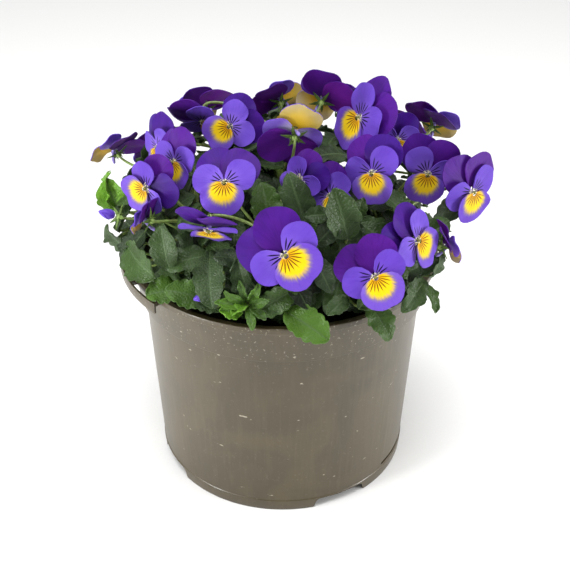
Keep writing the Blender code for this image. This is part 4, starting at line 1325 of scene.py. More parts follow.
@dataclass
class BloomDress:
    """A bloom's petals on fine grids, with its throat, down and nectar spur.

    Sizes are in metres; the limits of the hairs' turns are in degrees, their other limits in mm.
    """

    columns: int = 21
    rows: int = 11
    thickness: float = 0.42 * MM
    edge: float = 0.97
    claw_share: float = 0.07
    ruffle: float = 0.7 * MM
    spur_radius: float = 0.9 * MM
    stigma_radius: float = 0.95 * MM
    hairs: int = 6
    hair_radii: tuple[float, float, float] = (0.1 * MM, 0.08 * MM, 0.03 * MM)
    hair_turns: Pair = (55, 100)
    hair_roots: Pair = (1.4, 3.0)
    hair_rises: Pair = (0.7, 1.3)
    hair_leans: Pair = (0.2, 1.0)
    crowding: float = 0.85
    rim_waves: Pair = (0.014, 9.0)
    ruffle_waves: Pair = (6.5, 11.0)

    def petal(
        self, skin: Skin, flower: Flower, petal: Petal, shape: Shape, tint: float, over: int, under: int
    ) -> None:
        """Add one petal: the CAD surface, with a softly waved rim and a ruffle that grows to it.

        Args:
            skin: Mesh to add to.
            flower: Its bloom.
            petal: The petal.
            shape: How it bends, cups and waves.
            tint: Value that varies its colour.
            over: Finish of the upper side.
            under: Finish of the underside.
        """
        length = petal.length * MM * flower.size
        shares = np.linspace(-self.edge, self.edge, self.columns)
        depths = np.linspace(self.claw_share, 1, self.rows) ** self.crowding
        share, depth = np.meshgrid(shares, depths)
        reach = length * depth * np.cos(share * math.pi / 2) ** PETAL_ROUNDNESS
        reach *= 1 - petal.notch * depth**3 * np.exp(-((share / NOTCH_SHARE) ** 2))
        height, count = self.rim_waves
        reach *= 1 + height * depth**4 * np.sin(count * share + 2 * shape.phase)
        angle = share * math.radians(petal.spread)
        flat = np.stack((reach * np.sin(angle), reach * np.cos(angle)), axis=-1)
        places = flower.place(petal, shape, flat.reshape(-1, 2)).reshape(*share.shape, 3)
        _, _, _, forward = flower.frame()
        slow, fast = self.ruffle_waves
        wave = np.sin(slow * angle + 3 * shape.phase) * 0.7 + np.sin(fast * angle + shape.phase) * 0.3
        places = places + forward * (self.ruffle * wave * depth**3)[..., None]
        own = flat / (MM * flower.size)
        paint = np.stack((own[..., 0], own[..., 1], np.full(share.shape, tint)), axis=-1)
        skin.sheet(places, paint, self.thickness, over, under)

    def banner(self, skin: Skin, flower: Flower, number: int) -> None:
        """Add the two upper petals, in the first two finishes.

        Args:
            skin: Mesh to add to.
            flower: The flower.
            number: The bloom's number, which seeds its draws.
        """
        for index, (petal, shape) in enumerate(zip(BANNER, petal_shapes(number))):
            tint = (number * 0.37 + index * 0.21) % 1
            self.petal(skin, flower, petal, shape, tint, 0, 1)

    def face(self, skin: Skin, flower: Flower, number: int, first: int) -> None:
        """Add the side and lower petals, the stigma, the spur and the down, from the first finish on.

        Args:
            skin: Mesh to add to.
            flower: The flower.
            number: The bloom's number, which seeds its draws.
            first: Finish number of the side petals.
        """
        lateral, lateral_back, lower, lower_back, spur, stigma, hair = range(first, first + len(FACE_TISSUES))
        shapes = petal_shapes(number)[len(BANNER) :]
        for index, (petal, shape) in enumerate(zip(flower.face(), shapes)):
            tint = (number * 0.37 + index * 0.13) % 1
            over, under = (lateral, lateral_back) if index < 2 else (lower, lower_back)
            self.petal(skin, flower, petal, shape, tint, over, under)
        throat, right, up, forward = flower.frame()
        path = [throat + (up * rise + forward * ahead) * MM for rise, ahead in SPUR_PATH]
        leave = (-up * 5 - forward * 2) * MM
        smooth = hermite(throat - forward * 0.7 * MM, path[-1], leave, path[-1] - path[-2], 8)
        radii = self.spur_radius * np.array((1.5, 1.3, 1.15, 1.05, 1.0, 1.0, 1.0, 0.9, 0.6))
        skin.tube(smooth, radii, 10, spur)
        skin.bead(throat + forward * 1.2 * MM - up * 0.3 * MM, forward, 2.2 * MM, self.stigma_radius, stigma)
        draw = random.Random(number)
        for side in (-1, 1):
            for _ in range(self.hairs):
                turn = math.radians(side * draw.uniform(*self.hair_turns))
                out = up * math.cos(turn) + right * math.sin(turn)
                root = throat + out * draw.uniform(*self.hair_roots) * MM + forward * 0.5 * MM
                ahead, aside = draw.uniform(*self.hair_rises), draw.uniform(*self.hair_leans)
                tip = root + (forward * ahead - out * aside) * MM
                middle = (root + tip) / 2 + forward * 0.1 * MM
                skin.tube([root, middle, tip], self.hair_radii, 4, hair)

    def dress(self) -> None:
        """Build every bloom, two pieces for those at the front and one for those at the back."""
        for number, flower in enumerate(BLOOMS, 1):
            skin = Skin()
            self.banner(skin, flower, number)
            node = f"bloom_{number:02d}"
            skin.piece(f"{node}_upper_petals", BANNER_TISSUES, "purple_petal", f"{node}_banner")
            skin = Skin()
            self.face(skin, flower, number, 0)
            skin.piece(f"{node}_face_petals", FACE_TISSUES, "lavender_petal", f"{node}_face")
            LOG.info("bloom %d: petals, throat and spur", number)
        for number, flower in enumerate(BACK_BLOOMS, len(BLOOMS) + 1):
            skin = Skin()
            self.banner(skin, flower, number)
            self.face(skin, flower, number, len(BANNER_TISSUES))
            node = f"bloom_{number:02d}"
            skin.piece(f"{node}_petals", BLOOM_TISSUES, "purple_petal", node)
            LOG.info("bloom %d at the back: petals, throat and spur", number)


@dataclass
class BudDress:
    """A furled bud: petals wound round each other to a blunt tip. Sizes in metres."""

    length: float = 9 * MM
    radius: float = 2.6 * MM
    start: float = -2.15 * MM
    thickness: float = 0.3 * MM
    squash: float = 0.95
    twist: float = 2.2
    layers: int = 3
    layer_turn: float = 2.1

    def dress(self) -> None:
        """Build the buds."""
        for number, flower in enumerate(BUDS, 1):
            throat, right, up, forward = flower.frame()
            skin = Skin()
            shares = np.linspace(0, 1, 12)
            turns = np.linspace(0, 2 * math.pi, 21)
            for layer in range(self.layers):
                share, turn = np.meshgrid(shares, turns[: 15 + layer], indexing="ij")
                swell = np.sin(math.pi * share**0.8) ** 0.7 * (1 - 0.35 * share) + 0.12
                radius = self.radius * swell * (1 - 0.12 * layer + 0.1 * turn / math.pi * 0.5)
                spin = turn + self.twist * share + layer * self.layer_turn
                grid = (
                    throat
                    + forward * (self.start + share * self.length)[..., None]
                    + right * (np.cos(spin) * radius * self.squash)[..., None]
                    + up * (np.sin(spin) * radius * self.squash)[..., None]
                )
                skin.sheet(grid[:, ::-1], np.zeros(grid.shape), self.thickness, 0, 0)
            node = f"bud_{number:02d}"
            skin.piece(f"{node}_furled_petals", [Tissue.BUD], "purple_petal", node)
            LOG.info("bud %d", number)


# Leafy shoots


YOUTH_POWER = 1.4


@dataclass(frozen=True)
class LeafDress:
    """A leaf on a fine grid: crenate rim, folded along its midrib. Sizes in metres."""

    columns: int = 9
    rows: int = 27
    scallops: float = 5.5
    scallop_depth: float = 0.2
    thickness: float = 0.45 * MM
    petiole: float = 0.62 * MM
    wave: float = 1.1 * MM
    rib_share: float = 0.86
    rib_radii: Pair = (0.42 * MM, 0.18 * MM)
    stalk_foot: float = 0.8 * MM

    def blade(self, skin: Skin, leaf: Leaf, seed: float, over: int, under: int) -> None:
        """Add a leaf's blade and the rib under it.

        Args:
            skin: Mesh to add to.
            leaf: The leaf.
            seed: Number that its waves start from.
            over: Finish of the upper side.
            under: Finish of the underside.
        """
        length = leaf.length()
        across = np.linspace(-1, 1, self.columns)
        shares = np.linspace(0.004, 0.996, self.rows)
        t, s = np.meshgrid(across, shares)
        scallop = np.abs(np.sin(math.pi * self.scallops * s)) ** 0.55
        half = leaf.width * leaf_half_width(s) * (1 - self.scallop_depth * (1 - scallop) * np.abs(t) ** 5)
        half = np.maximum(half, self.petiole * (1 - s * 0.5))
        flat = np.stack((t * half, s * length), axis=-1)
        places = leaf.place(flat.reshape(-1, 2)).reshape(*t.shape, 3)
        along_leaf = unit(leaf.tip - leaf.base)
        normal = np.cross(unit(np.cross(along_leaf, leaf.normal)), along_leaf)
        wave = np.sin(2 * math.pi * 2.1 * s + seed + 2.2 * np.sign(t)) * t**2
        wave = wave + 0.5 * np.sin(2 * math.pi * 4.3 * s + 2 * seed) * np.abs(t) ** 3
        curl = -0.05 * length * (np.abs(t) ** 4) * math.sin(seed)
        places = places + normal * (self.wave * wave + curl)[..., None]
        paint = np.stack((t, s, np.full(t.shape, leaf.youth)), axis=-1)
        skin.sheet(places, paint, self.thickness, over, under)
        middle = places[: int(self.rows * self.rib_share), self.columns // 2] - normal * 0.3 * MM
        skin.tube(middle[::2], np.linspace(*self.rib_radii, len(middle[::2])), 5, under)

    def stalked(self, skin: Skin, leaf: Leaf, seed: float, over: int, under: int, stalk: int) -> None:
        """Add a whole leaf: blade, rib and stalk.

        Args:
            skin: Mesh to add to.
            leaf: The leaf.
            seed: Number that its waves start from.
            over: Finish of the upper side.
            under: Finish of the underside.
            stalk: Finish of the stalk.
        """
        self.blade(skin, leaf, seed, over, under)
        heading = unit(leaf.tip - leaf.base)
        reach = np.linalg.norm(leaf.base - leaf.anchor)
        straight = leaf.base - leaf.anchor
        arrive = straight * 0.6 + heading * reach * 0.4
        path = hermite(leaf.anchor, leaf.base + heading * 1.2 * MM, straight, arrive, 7)
        skin.tube(path, np.linspace(self.stalk_foot, self.petiole, len(path)), 6, stalk)


@dataclass
class ShootDress:
    """A leafy shoot: stem, flower stalks with calyxes, leaves and their stipules."""

    leaf: LeafDress = LeafDress()
    stem_radius: float = 1.4 * MM
    stalk_radius: float = 0.8 * MM
    sepal_width: float = 2.5 * MM
    sepal_rows: int = 7
    sepal_thickness: float = 0.35 * MM
    stipule_sizes: Pair = (5, 8)
    youths: Pair = (0, 0.32)

    def calyx(self, skin: Skin, flower: Flower, slot: int) -> None:
        """Add five pointed sepals round the back of a flower, each with a blunt flap behind.

        Args:
            skin: Mesh to add to.
            flower: The flower.
            slot: Finish number.
        """
        throat, _, up, forward = flower.frame()
        other = np.cross(forward, up)
        centre = throat + forward * CALYX_RING
        for i in range(SEPALS):
            turn = math.pi * (2 * i + 1) / SEPALS
            out = other * math.sin(turn) - up * math.cos(turn)
            aside = np.cross(out, forward)
            for reach, back, width in ((SEPAL_REACH, 0.8, self.sepal_width), (2.6 * MM, -2.2, 2.0 * MM)):
                s, t = np.meshgrid(np.linspace(0, 1, self.sepal_rows), (-1.0, 0.0, 1.0), indexing="ij")
                half = width / 2 * (1 - s**1.8) * (0.55 + 1.1 * s * (1 - s)) + 0.06 * MM
                lift = back * s**2 + 0.15 * np.abs(t)
                grid = (
                    centre
                    + out * (1.0 * MM + s * (reach - 1.0 * MM))[..., None]
                    + aside * (t * half)[..., None]
                    + forward * (lift * MM)[..., None]
                )
                paint = np.stack((t, s, np.full(s.shape, 0.1)), axis=-1)
                skin.sheet(grid, paint, self.sepal_thickness, slot, slot)
        skin.bead(throat + forward * (CALYX_RING - 0.6 * MM), forward, 3.4 * MM, 1.6 * MM, slot)

    def stipule(self, skin: Skin, place: Points, out: Points, size: float, slot: int) -> None:
        """Add a stipule: a small leaflet cut into three narrow lobes.

        Args:
            skin: Mesh to add to.
            place: Where it grows.
            out: Direction in which it points.
            size: Its length in metres.
            slot: Finish number.
        """
        side = unit(np.cross(out, UP) + 1e-6)
        for lobe, turn in ((1.0, 0.0), (0.6, 0.7), (0.6, -0.7)):
            heading = unit(out * math.cos(turn) + side * math.sin(turn) + UP * 0.5)
            across = unit(np.cross(heading, UP))
            s, t = np.meshgrid(np.linspace(0, 1, 6), (-1.0, 0.0, 1.0), indexing="ij")
            half = size * 0.13 * (1 - s**2.5) * (0.6 + 1.4 * s * (1 - s)) + 0.08 * MM
            rise = -0.25 * size * s**2 + 0.2 * half * np.abs(t)
            grid = (
                place
                + heading * (s * size * lobe)[..., None]
                + across * (t * half)[..., None]
                + UP * rise[..., None]
            )
            paint = np.stack((t, s, np.full(s.shape, 0.35)), axis=-1)
            skin.sheet(grid, paint, self.sepal_thickness, slot, slot)

    def dress(
        self, number: int, stem: Path, stalks: Sequence[tuple[Stalk, Flower]], leaves: Sequence[Leaf]
    ) -> None:
        """Build one shoot.

        Args:
            number: The shoot's number, from 1.
            stem: The stem's path.
            stalks: Each flower stalk with its flower.
            leaves: The leaves on the shoot.
        """
        skin = Skin()
        draw = random.Random(SEED + number)
        skin.tube(stem, np.linspace(self.stem_radius * 1.1, self.stem_radius * 0.8, len(stem)), 10, 3)
        for stalk, flower in stalks:
            path = stalk.path(18)
            skin.tube(path, np.linspace(self.stalk_radius * 1.1, self.stalk_radius * 0.85, len(path)), 8, 3)
            self.calyx(skin, flower, 2)
        for leaf in leaves:
            if not leaf.youth:
                leaf = replace(leaf, youth=draw.uniform(*self.youths) ** YOUTH_POWER)
            self.leaf.stalked(skin, leaf, draw.uniform(0, 6.3), 0, 1, 3)
            heading = unit(leaf.base - leaf.anchor)
            size = draw.uniform(*self.stipule_sizes) * MM
            self.stipule(skin, leaf.anchor + heading * 1.0 * MM, heading, size, 2)
        tissues = (*BLADE_TISSUES, Tissue.SEPAL, Tissue.STALK)
        skin.piece(f"shoot_{number:02d}_leaves_and_stalks", tissues, "leaf", f"shoot_{number:02d}")
        LOG.info("shoot %d: %d leaves, %d flower stalks", number, len(leaves), len(stalks))


@dataclass
class FrontLeaves:
    """The small leaves and the young rosette that crowd the front of the mound over the rim."""

    leaf: LeafDress = LeafDress(columns=7, rows=17, scallops=3.5, wave=0.6 * MM)

    def dress(self, planting: Planting, stems: Sequence[Path]) -> None:
        """Build them as one piece.

        Args:
            planting: Plan of the plant.
            stems: The stems' paths.
        """
        skin = Skin()
        draw = random.Random(SEED * 17)
        for row in FRONT_LEAVES:
            _, leaf = planting.hand_leaf(stems, row)
            self.leaf.stalked(skin, leaf, draw.uniform(0, 6.3), 0, 1, 2)
            planting.neighbours.add("front_leaves", leaf.cloud()[STALK_CLOUD_POINTS:])
        skin.piece("front_leaves", (*BLADE_TISSUES, Tissue.STALK), "leaf")
        LOG.info("front leaves: %d", len(FRONT_LEAVES))


@dataclass
class InnerBlooms:
    """Small half-hidden blooms between the large ones, on short stalks."""

    first: int = 31
    start_share: float = 0.8
    pull: float = 10 * MM

    def dress(self, planting: Planting, stems: Sequence[Path]) -> None:
        """Build their petals as one piece, and their stalks and calyxes as another.

        Args:
            planting: Plan of the plant.
            stems: The stems' paths.
        """
        petals, greens = Skin(), Skin()
        bloom, shoot = BloomDress(), ShootDress()
        for number, flower in enumerate(INNER_BLOOMS, self.first):
            planting.neighbours.add(f"flower_{number}", flower.cloud(number))
            bloom.banner(petals, flower, number)
            bloom.face(petals, flower, number, len(BANNER_TISSUES))
            throat, _, _, forward = flower.frame()
            start = along(stems[flower.shoot], self.start_share)
            end = throat + forward * CALYX_BACK
            stalk = Stalk(start, end, UP * np.linalg.norm(end - start), forward * self.pull)
            greens.tube(stalk.path(12), shoot.stalk_radius, 8, 1)
            shoot.calyx(greens, flower, 0)
        petals.piece("inner_blooms_petals", BLOOM_TISSUES, "purple_petal")
        greens.piece("inner_blooms_stalks", (Tissue.SEPAL, Tissue.STALK), "leaf")
        LOG.info("inner blooms: %d", len(INNER_BLOOMS))


@dataclass
class InnerFoliage:
    """The smaller leaves inside the mound and over the pot's rim, which close its gaps."""

    count: int = 420
    tries: int = 40
    gap_to_flowers: float = 1.2 * MM
    gap_to_leaves: float = 0.5 * MM
    shell: Pair = (0.42, 0.9)
    rise: Pair = (0.02, 0.97)
    lengths: Pair = (15 * MM, 26 * MM)
    width_shares: Pair = (0.55, 0.72)
    youths: Pair = (0, 0.25)
    turn: float = 2 * math.pi * 0.7549
    climb: float = 0.5698
    leaf: LeafDress = LeafDress(columns=7, rows=19, scallops=4.5, wave=0.7 * MM)

    def draw_leaves(self, planting: Planting, stems: Sequence[Path]) -> list[Leaf]:
        """Leaves that keep clear of the flowers and, closely, of each other.

        Args:
            planting: Plan of the plant.
            stems: The stems' paths.

        Returns:
            The leaves.
        """
        draw = random.Random(SEED * 7)
        own = Neighbours()
        found: list[Leaf] = []
        drawing = Planting(shell=self.shell, rise=self.rise, golden_angle=self.turn, golden_step=self.climb)
        for number in range(self.count):
            for _ in range(self.tries):
                _, leaf = drawing.drawn_leaf(stems, number, draw)
                length = draw.uniform(*self.lengths)
                tip = leaf.base + unit(leaf.tip - leaf.base) * length
                width = length * draw.uniform(*self.width_shares)
                youth = draw.uniform(*self.youths) ** YOUTH_POWER
                leaf = replace(leaf, tip=tip, width=width, youth=youth)
                cloud = leaf.cloud()
                blade = cloud[STALK_CLOUD_POINTS:]
                if not planting.clear_of_rim(cloud):
                    continue
                flowers = [node for node in planting.neighbours.clouds if node.startswith("flower")]
                if not planting.neighbours.clear(cloud, self.gap_to_flowers, only=flowers):
                    continue
                near = (planting.neighbours, own)
                if all(clouds.clear(blade, self.gap_to_leaves) for clouds in near):
                    own.add("inner", blade)
                    found.append(leaf)
                    break
        return found

    def dress(self, planting: Planting, stems: Sequence[Path]) -> None:
        """Build the inner leaves as one piece.

        Args:
            planting: Plan of the plant.
            stems: The stems' paths.
        """
        skin = Skin()
        leaves = self.draw_leaves(planting, stems)
        draw = random.Random(SEED * 11)
        for leaf in leaves:
            self.leaf.stalked(skin, leaf, draw.uniform(0, 6.3), 0, 1, 2)
        skin.piece("inner_leaves", (*BLADE_TISSUES, Tissue.STALK), "leaf")
        LOG.info("inner foliage: %d leaves", len(leaves))


# Pot and soil


def mesh_object(name: str, bm: bmesh.types.BMesh) -> bpy.types.Object:
    """An unlinked object that holds a bmesh.

    Args:
        name: Name of the object and its mesh.
        bm: The mesh, which is freed.

    Returns:
        The object.
    """
    mesh = bpy.data.meshes.new(name)
    bm.to_mesh(mesh)
    bm.free()
    return bpy.data.objects.new(name, mesh)


@dataclass
class PotDress:
    """The moulded pot: lathe-turned body with rounded edges, ears, foot notches and drains."""

    height: float = 132 * MM
    lip_radius: float = 85 * MM
    lip_thickness: float = 3.5 * MM
    band_top: float = 82 * MM
    band_bottom: float = 79.8 * MM
    band_level: float = 108.5 * MM
    body_top: float = 77 * MM
    body_level: float = 107 * MM
    foot: float = 71.7 * MM
    wall: float = 1.3 * MM
    base_under: float = 6.6 * MM
    base_top: float = 8 * MM
    fillet: float = 0.5 * MM
    steps: int = 144
    ear_angles: tuple = (200, 20)
    ear_half: float = 24
    ear_radius: float = 89.2 * MM
    ear_strip: float = 1.2 * MM
    ear_levels: tuple = (125.5 * MM, 131.4 * MM)
    rib_level: float = 128.6 * MM
    ribs: tuple = (-22, -8, 6, 22)
    rib_half: float = 1.4
    notch_angles: tuple = (27, 117, 207, 297)
    notch_width: float = 36 * MM
    notch_height: float = 6.2 * MM
    notch_depth: float = 14 * MM
    notch_taper: float = 0.8
    slot_angles: tuple = (340, 160)
    slot_size: tuple = (44 * MM, 12 * MM, 1.8 * MM)
    slot_level: float = 9.2 * MM
    drain_reach: float = 56 * MM
    drain_radius: float = 6 * MM

    def profile(self) -> list[tuple[float, float]]:
        """(radius, height) from the inner floor over the lip and down to the foot.

        Returns:
            The corners in metres.
        """
        inner = self.foot - self.wall
        return [
            (0, self.base_top),
            (inner, self.base_top),
            (self.body_top - self.wall, self.body_level),
            (self.band_bottom - self.wall, self.band_level + self.wall),
            (self.band_top - self.wall, self.height - self.wall),
            (self.band_top, self.height),
            (self.lip_radius, self.height),
            (self.lip_radius, self.height - self.lip_thickness),
            (self.band_top, self.height - self.lip_thickness),
            (self.band_bottom, self.band_level),
            (self.body_top, self.body_level),
            (self.foot + 0.55 * MM, 7.4 * MM),
            (self.foot + 0.95 * MM, 7.0 * MM),
            (self.foot + 0.4 * MM, 0),
            (inner, 0),
            (inner, self.base_under),
            (0, self.base_under),
        ]

    def filleted(self) -> list[tuple[float, float]]:
        """The profile with each corner turned into a small arc.

        Returns:
            The points in metres.
        """
        corners = [np.array(point) for point in self.profile()]
        points = [corners[0]]
        for before, corner, after in zip(corners, corners[1:], corners[2:]):
            first, second = before - corner, after - corner
            cut = min(self.fillet, 0.4 * np.linalg.norm(first), 0.4 * np.linalg.norm(second))
            start, end = corner + unit(first) * cut, corner + unit(second) * cut
            for t in (0.0, 0.33, 0.67, 1.0):
                points.append((1 - t) ** 2 * start + 2 * t * (1 - t) * corner + t**2 * end)
        return [tuple(point) for point in (*points, corners[-1])]

    def bar(
        self, inner: float, outer: float, levels: Sequence[float], start: float, end: float, steps: int
    ) -> bpy.types.Object:
        """A bar with bevelled edges that follows an arc round Z, from start to end in degrees.

        Args:
            inner: Inner radius.
            outer: Outer radius.
            levels: Heights of its underside and top.
            start: Angle at which it starts.
            end: Angle at which it ends.
            steps: Stretches along the arc.

        Returns:
            The bar, unlinked.
        """
        bm = bmesh.new()
        bmesh.ops.create_cube(bm, size=1.0)
        lengthwise = [edge for edge in bm.edges if abs(edge.verts[0].co.x - edge.verts[1].co.x) > 0.5]
        if steps > 1:
            bmesh.ops.subdivide_edges(bm, edges=lengthwise, cuts=steps - 1)
        for vert in bm.verts:
            angle = math.radians(start + (end - start) * (vert.co.x + 0.5))
            radius = inner + (outer - inner) * (0.5 - vert.co.y)
            height = levels[0] + (levels[1] - levels[0]) * (vert.co.z + 0.5)
            vert.co = (radius * math.cos(angle), radius * math.sin(angle), height)
        sharp = [edge for edge in bm.edges if edge.calc_face_angle(0) > math.radians(45)]
        bmesh.ops.bevel(bm, geom=sharp, offset=0.22 * MM, segments=2, affect="EDGES", profile=0.5)
        return mesh_object("bar", bm)

    def cutter(
        self, size: Sequence[float], place: Sequence[float], turn_degrees: float, top_share: float
    ) -> bpy.types.Object:
        """A block with rounded corners to cut with; its top may be narrower along X.

        Args:
            size: Length, depth and height.
            place: Its middle before the turn.
            turn_degrees: Turn round Z.
            top_share: Length of its top over that of its base.

        Returns:
            The block, unlinked.
        """
        bm = bmesh.new()
        bmesh.ops.create_cube(bm, size=1.0)
        upper = [edge for edge in bm.edges if all(vert.co.z > 0 for vert in edge.verts)]
        upper = [edge for edge in upper if abs(edge.verts[0].co.y - edge.verts[1].co.y) > 0.5]
        for vert in bm.verts:
            share = top_share if vert.co.z > 0 else 1.0
            vert.co = (vert.co.x * size[0] * share, vert.co.y * size[1], vert.co.z * size[2])
        rounding = min(2.0 * MM, size[2] * 0.4)
        bmesh.ops.bevel(bm, geom=upper, offset=rounding, segments=4, affect="EDGES", profile=0.5)
        bm.transform(Matrix.Rotation(math.radians(turn_degrees), 4, "Z") @ Matrix.Translation(Vector(place)))
        return mesh_object("cutter", bm)

    def drain(self, angle: float) -> bpy.types.Object:
        """A round drain to cut through the base.

        Args:
            angle: Its direction from Z in degrees.

        Returns:
            The cylinder, unlinked.
        """
        bm = bmesh.new()
        radius = self.drain_radius
        bmesh.ops.create_cone(bm, cap_ends=True, segments=32, radius1=radius, radius2=radius, depth=20 * MM)
        x, y, z = polar(angle, self.drain_reach, 8 * MM)
        bm.transform(Matrix.Translation((x, y, z)))
        return mesh_object("drain", bm)

    def joined(self, body: bpy.types.Object, others: Iterable[bpy.types.Object], operation: str) -> None:
        """Add the others to the body, or cut them from it, and keep the result as its mesh.

        Args:
            body: What they are added to.
            others: The others, which are removed.
            operation: UNION or DIFFERENCE.
        """
        group = bpy.data.collections.new("others")
        bpy.context.scene.collection.children.link(group)
        for other in others:
            group.objects.link(other)
        change = body.modifiers.new("change", "BOOLEAN")
        change.operation = operation
        change.operand_type = "COLLECTION"
        change.collection = group
        change.solver = "MANIFOLD"
        self.keep_modified(body)
        for other in list(group.objects):
            bpy.data.objects.remove(other)
        bpy.data.collections.remove(group)

    def keep_modified(self, obj: bpy.types.Object) -> None:
        """Replace an object's mesh by what its modifiers give.

        Args:
            obj: The object.
        """
        graph = bpy.context.evaluated_depsgraph_get()
        mesh = bpy.data.meshes.new_from_object(obj.evaluated_get(graph))
        obj.modifiers.clear()
        obj.data = mesh

    def dress(self) -> None:
        """Build the pot."""
        profile = self.filleted()
        mesh = bpy.data.meshes.new("pot")
        mesh.from_pydata([(r, 0, z) for r, z in profile], [(i, i + 1) for i in range(len(profile) - 1)], [])
        obj = bpy.data.objects.new("moulded_pot", mesh)
        bpy.context.scene.collection.objects.link(obj)
        screw = obj.modifiers.new("turn", "SCREW")
        screw.axis = "Z"
        screw.steps = screw.render_steps = self.steps
        screw.use_merge_vertices = True
        screw.merge_threshold = 1e-5
        self.keep_modified(obj)
        low, high = self.ear_levels
        bars = []
        for angle in self.ear_angles:
            ends = (angle - self.ear_half, angle + self.ear_half)
            bars.append(self.bar(self.ear_radius - self.ear_strip, self.ear_radius, (low, high), *ends, 32))
            for rib in self.ribs:
                ends = (angle + rib - self.rib_half, angle + rib + self.rib_half)
                levels = (self.rib_level, high - 0.35 * MM)
                outer = self.ear_radius - self.ear_strip / 2
                bars.append(self.bar(self.lip_radius - self.ear_strip, outer, levels, *ends, 1))
        self.joined(obj, bars, "UNION")
        cuts = []
        for angle in self.notch_angles:
            size = (self.notch_width, self.notch_depth, 2 * self.notch_height)
            cuts.append(self.cutter(size, (0, self.foot, 0), angle - 90, self.notch_taper))
            cuts.append(self.drain(angle))
        for angle in self.slot_angles:
            place = (0, self.foot - 1.5 * MM, self.slot_level)
            cuts.append(self.cutter(self.slot_size, place, angle - 90, 1.0))
        self.joined(obj, cuts, "DIFFERENCE")
        obj.data.materials.clear()
        obj.data.materials.append(finish(Tissue.POT)[0])
        obj.data.shade_smooth()
        obj.data.set_sharp_from_angle(angle=math.radians(38))
        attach(obj, BODY)
        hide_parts("pot")
        LOG.info("pot: %d faces", len(obj.data.polygons))


@dataclass
class SoilDress:
    """Peat compost: a lumpy surface with loose crumbs, and its side down the pot's wall.

    The wall's rings are radii and heights in mm, the crumbs' sizes limits in mm.
    """

    top: float = 119 * MM
    drop: float = 3 * MM
    edge: float = 78.6 * MM
    rings: int = 46
    spokes: int = 120
    lump: float = 1.5 * MM
    crumbs: int = 420
    crumb_sizes: tuple = (0.6, 1.7)
    wall_rings: tuple = ((78.15, 111.1), (75.35, 107.0), (70.05, 8.35))

    def level(self, x: float, y: float) -> float:
        """Height of the surface at a place.

        Args:
            x: Place along X.
            y: Place along Y.

        Returns:
            The height in metres.
        """
        share = math.hypot(x, y) / self.edge
        coarse = noise.noise(Vector((x, y, 0)) / (9 * MM))
        fine = noise.noise(Vector((x, y, 7.0)) / (2.6 * MM))
        return self.top - self.drop * share**3 + self.lump * (0.7 * coarse + 0.5 * fine)

    def dress(self) -> None:
        """Build the soil."""
        skin = Skin()
        turns = np.linspace(0, 2 * math.pi, self.spokes, endpoint=False)
        rings = []
        for share in np.linspace(1 / self.rings, 1, self.rings):
            radius = self.edge * share
            ring = [(radius * math.cos(turn), radius * math.sin(turn)) for turn in turns]
            rings.append([(x, y, self.level(x, y)) for x, y in ring])
        for radius, height in self.wall_rings:
            rings.append([polar(math.degrees(turn), radius * MM, height * MM) for turn in turns])
        points = np.array([point for ring in rings for point in ring])
        index = np.arange(len(points)).reshape(len(rings), self.spokes)
        follow = np.roll(index, -1, axis=1)
        quads = np.stack((index[:-1], index[1:], follow[1:], follow[:-1]), axis=-1).reshape(-1, 4).tolist()
        middle, bottom = len(points), len(points) + 1
        points = np.concatenate((points, [(0, 0, self.level(0, 0)), (0, 0, height * MM)]))
        caps = [[middle, index[0, i], follow[0, i]] for i in range(self.spokes)]
        caps += [[bottom, follow[-1, i], index[-1, i]] for i in range(self.spokes)]
        skin.keep(points, quads + caps, [0] * (len(quads) + len(caps)), np.zeros(3))
        draw = random.Random(SEED * 3)
        for _ in range(self.crumbs):
            reach = self.edge * 0.95 * math.sqrt(draw.random())
            turn = draw.uniform(0, 2 * math.pi)
            x, y = reach * math.cos(turn), reach * math.sin(turn)
            size = draw.uniform(*self.crumb_sizes) * MM
            axis = np.array([draw.gauss(0, 1) for _ in range(3)])
            centre = np.array((x, y, self.level(x, y) + size * 0.3))
            skin.bead(centre, axis, size * draw.uniform(2, 4), size * 0.8, 0, sides=6)
        skin.piece("compost", [Tissue.PEAT], "soil", "soil", sharp=70)
        LOG.info("compost: surface and %d crumbs", self.crumbs)


# Studio


# Name, place and size in metres, and power in watts
SOFTBOXES = (
    ("softbox_top", (-0.1, -0.25, 1.2), (0.8, 0.8), 14.0),
    ("softbox_left", (-0.65, -0.45, 0.1), (0.16, 0.5), 9.5),
    ("softbox_right", (0.75, -0.3, 0.1), (0.16, 0.5), 8.0),
)


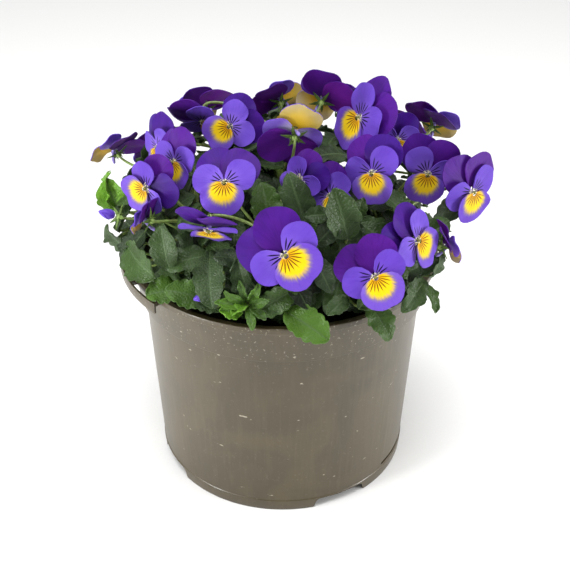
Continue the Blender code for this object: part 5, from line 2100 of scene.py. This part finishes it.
@dataclass
class Studio:
    """White paper floor, light all round that is dim from the front, softboxes and the camera.

    The camera's place is in metres, its pitch in radians, its focal length and shift in pixels.
    """

    picture: int = 570
    focal: float = 978.0
    sensor: float = 36.0
    camera_back: float = 0.4693
    camera_height: float = 0.3992
    camera_pitch: float = 0.5619
    shift: float = 2.5
    world_light: Pair = (0.25, 0.85)
    aim: tuple = (0, 0, 0.12)

    def light(self, name: str, place: Sequence[float], size: Sequence[float], power: float) -> None:
        """Add a rectangular softbox that faces the plant.

        Args:
            name: Name of the light.
            place: Its middle in metres.
            size: Width and height in metres.
            power: Power in watts.
        """
        data = bpy.data.lights.new(name, "AREA")
        data.shape = "RECTANGLE"
        data.size, data.size_y = size
        data.energy = power
        obj = bpy.data.objects.new(name, data)
        obj.location = place
        aim = Vector(self.aim) - Vector(place)
        obj.rotation_euler = aim.to_track_quat("-Z", "Y").to_euler()
        bpy.context.scene.collection.objects.link(obj)

    def dress(self) -> None:
        """Build the floor, the lights and the camera."""
        bm = bmesh.new()
        bmesh.ops.create_grid(bm, x_segments=1, y_segments=1, size=4.0)
        floor = mesh_object("studio_floor", bm)
        floor.data.materials.append(finish(Tissue.FLOOR)[0])
        bpy.context.scene.collection.objects.link(floor)
        world = bpy.data.worlds.new("studio")
        world.use_nodes = True
        tree = world.node_tree
        tree.nodes["Background"].inputs["Color"].default_value = (1.0, 1.0, 1.0, 1.0)
        ahead = add(tree, "SeparateXYZ", {0: add(tree, "TexCoord", out="Generated")}, "Y")
        low, high = self.world_light
        light = add(
            tree, "MapRange", {0: ahead, 1: -0.9, 2: -0.1, 3: low, 4: high}, interpolation_type="SMOOTHSTEP"
        )
        tree.links.new(light, tree.nodes["Background"].inputs["Strength"])
        bpy.context.scene.world = world
        for softbox in SOFTBOXES:
            self.light(*softbox)
        data = bpy.data.cameras.new("camera")
        data.sensor_width = self.sensor
        data.lens = self.focal / self.picture * self.sensor
        data.shift_x = self.shift / self.picture
        camera = bpy.data.objects.new("camera", data)
        camera.location = (0, -self.camera_back, self.camera_height)
        camera.rotation_euler = (math.pi / 2 - self.camera_pitch, 0, 0)
        bpy.context.scene.collection.objects.link(camera)
        bpy.context.scene.camera = camera
        bpy.context.scene.view_settings.view_transform = "Standard"
        LOG.info("studio: floor, %d softboxes and the camera", len(SOFTBOXES))


def main() -> None:
    """Dress the whole plant, its pot and the studio."""
    logging.basicConfig(level=logging.INFO, format="%(name)s: %(message)s")
    planting = Planting()
    stems, stalks, leaves = planting.plan()
    PotDress().dress()
    SoilDress().dress()
    for number, shoot in enumerate(SHOOTS, 1):
        fine_stem = planting.stem_path(shoot, 14)
        ShootDress().dress(number, fine_stem, stalks[number - 1], leaves[number - 1])
    FrontLeaves().dress(planting, stems)
    InnerBlooms().dress(planting, stems)
    InnerFoliage().dress(planting, stems)
    BloomDress().dress()
    BudDress().dress()
    Studio().dress()


if __name__ == "__main__":
    main()
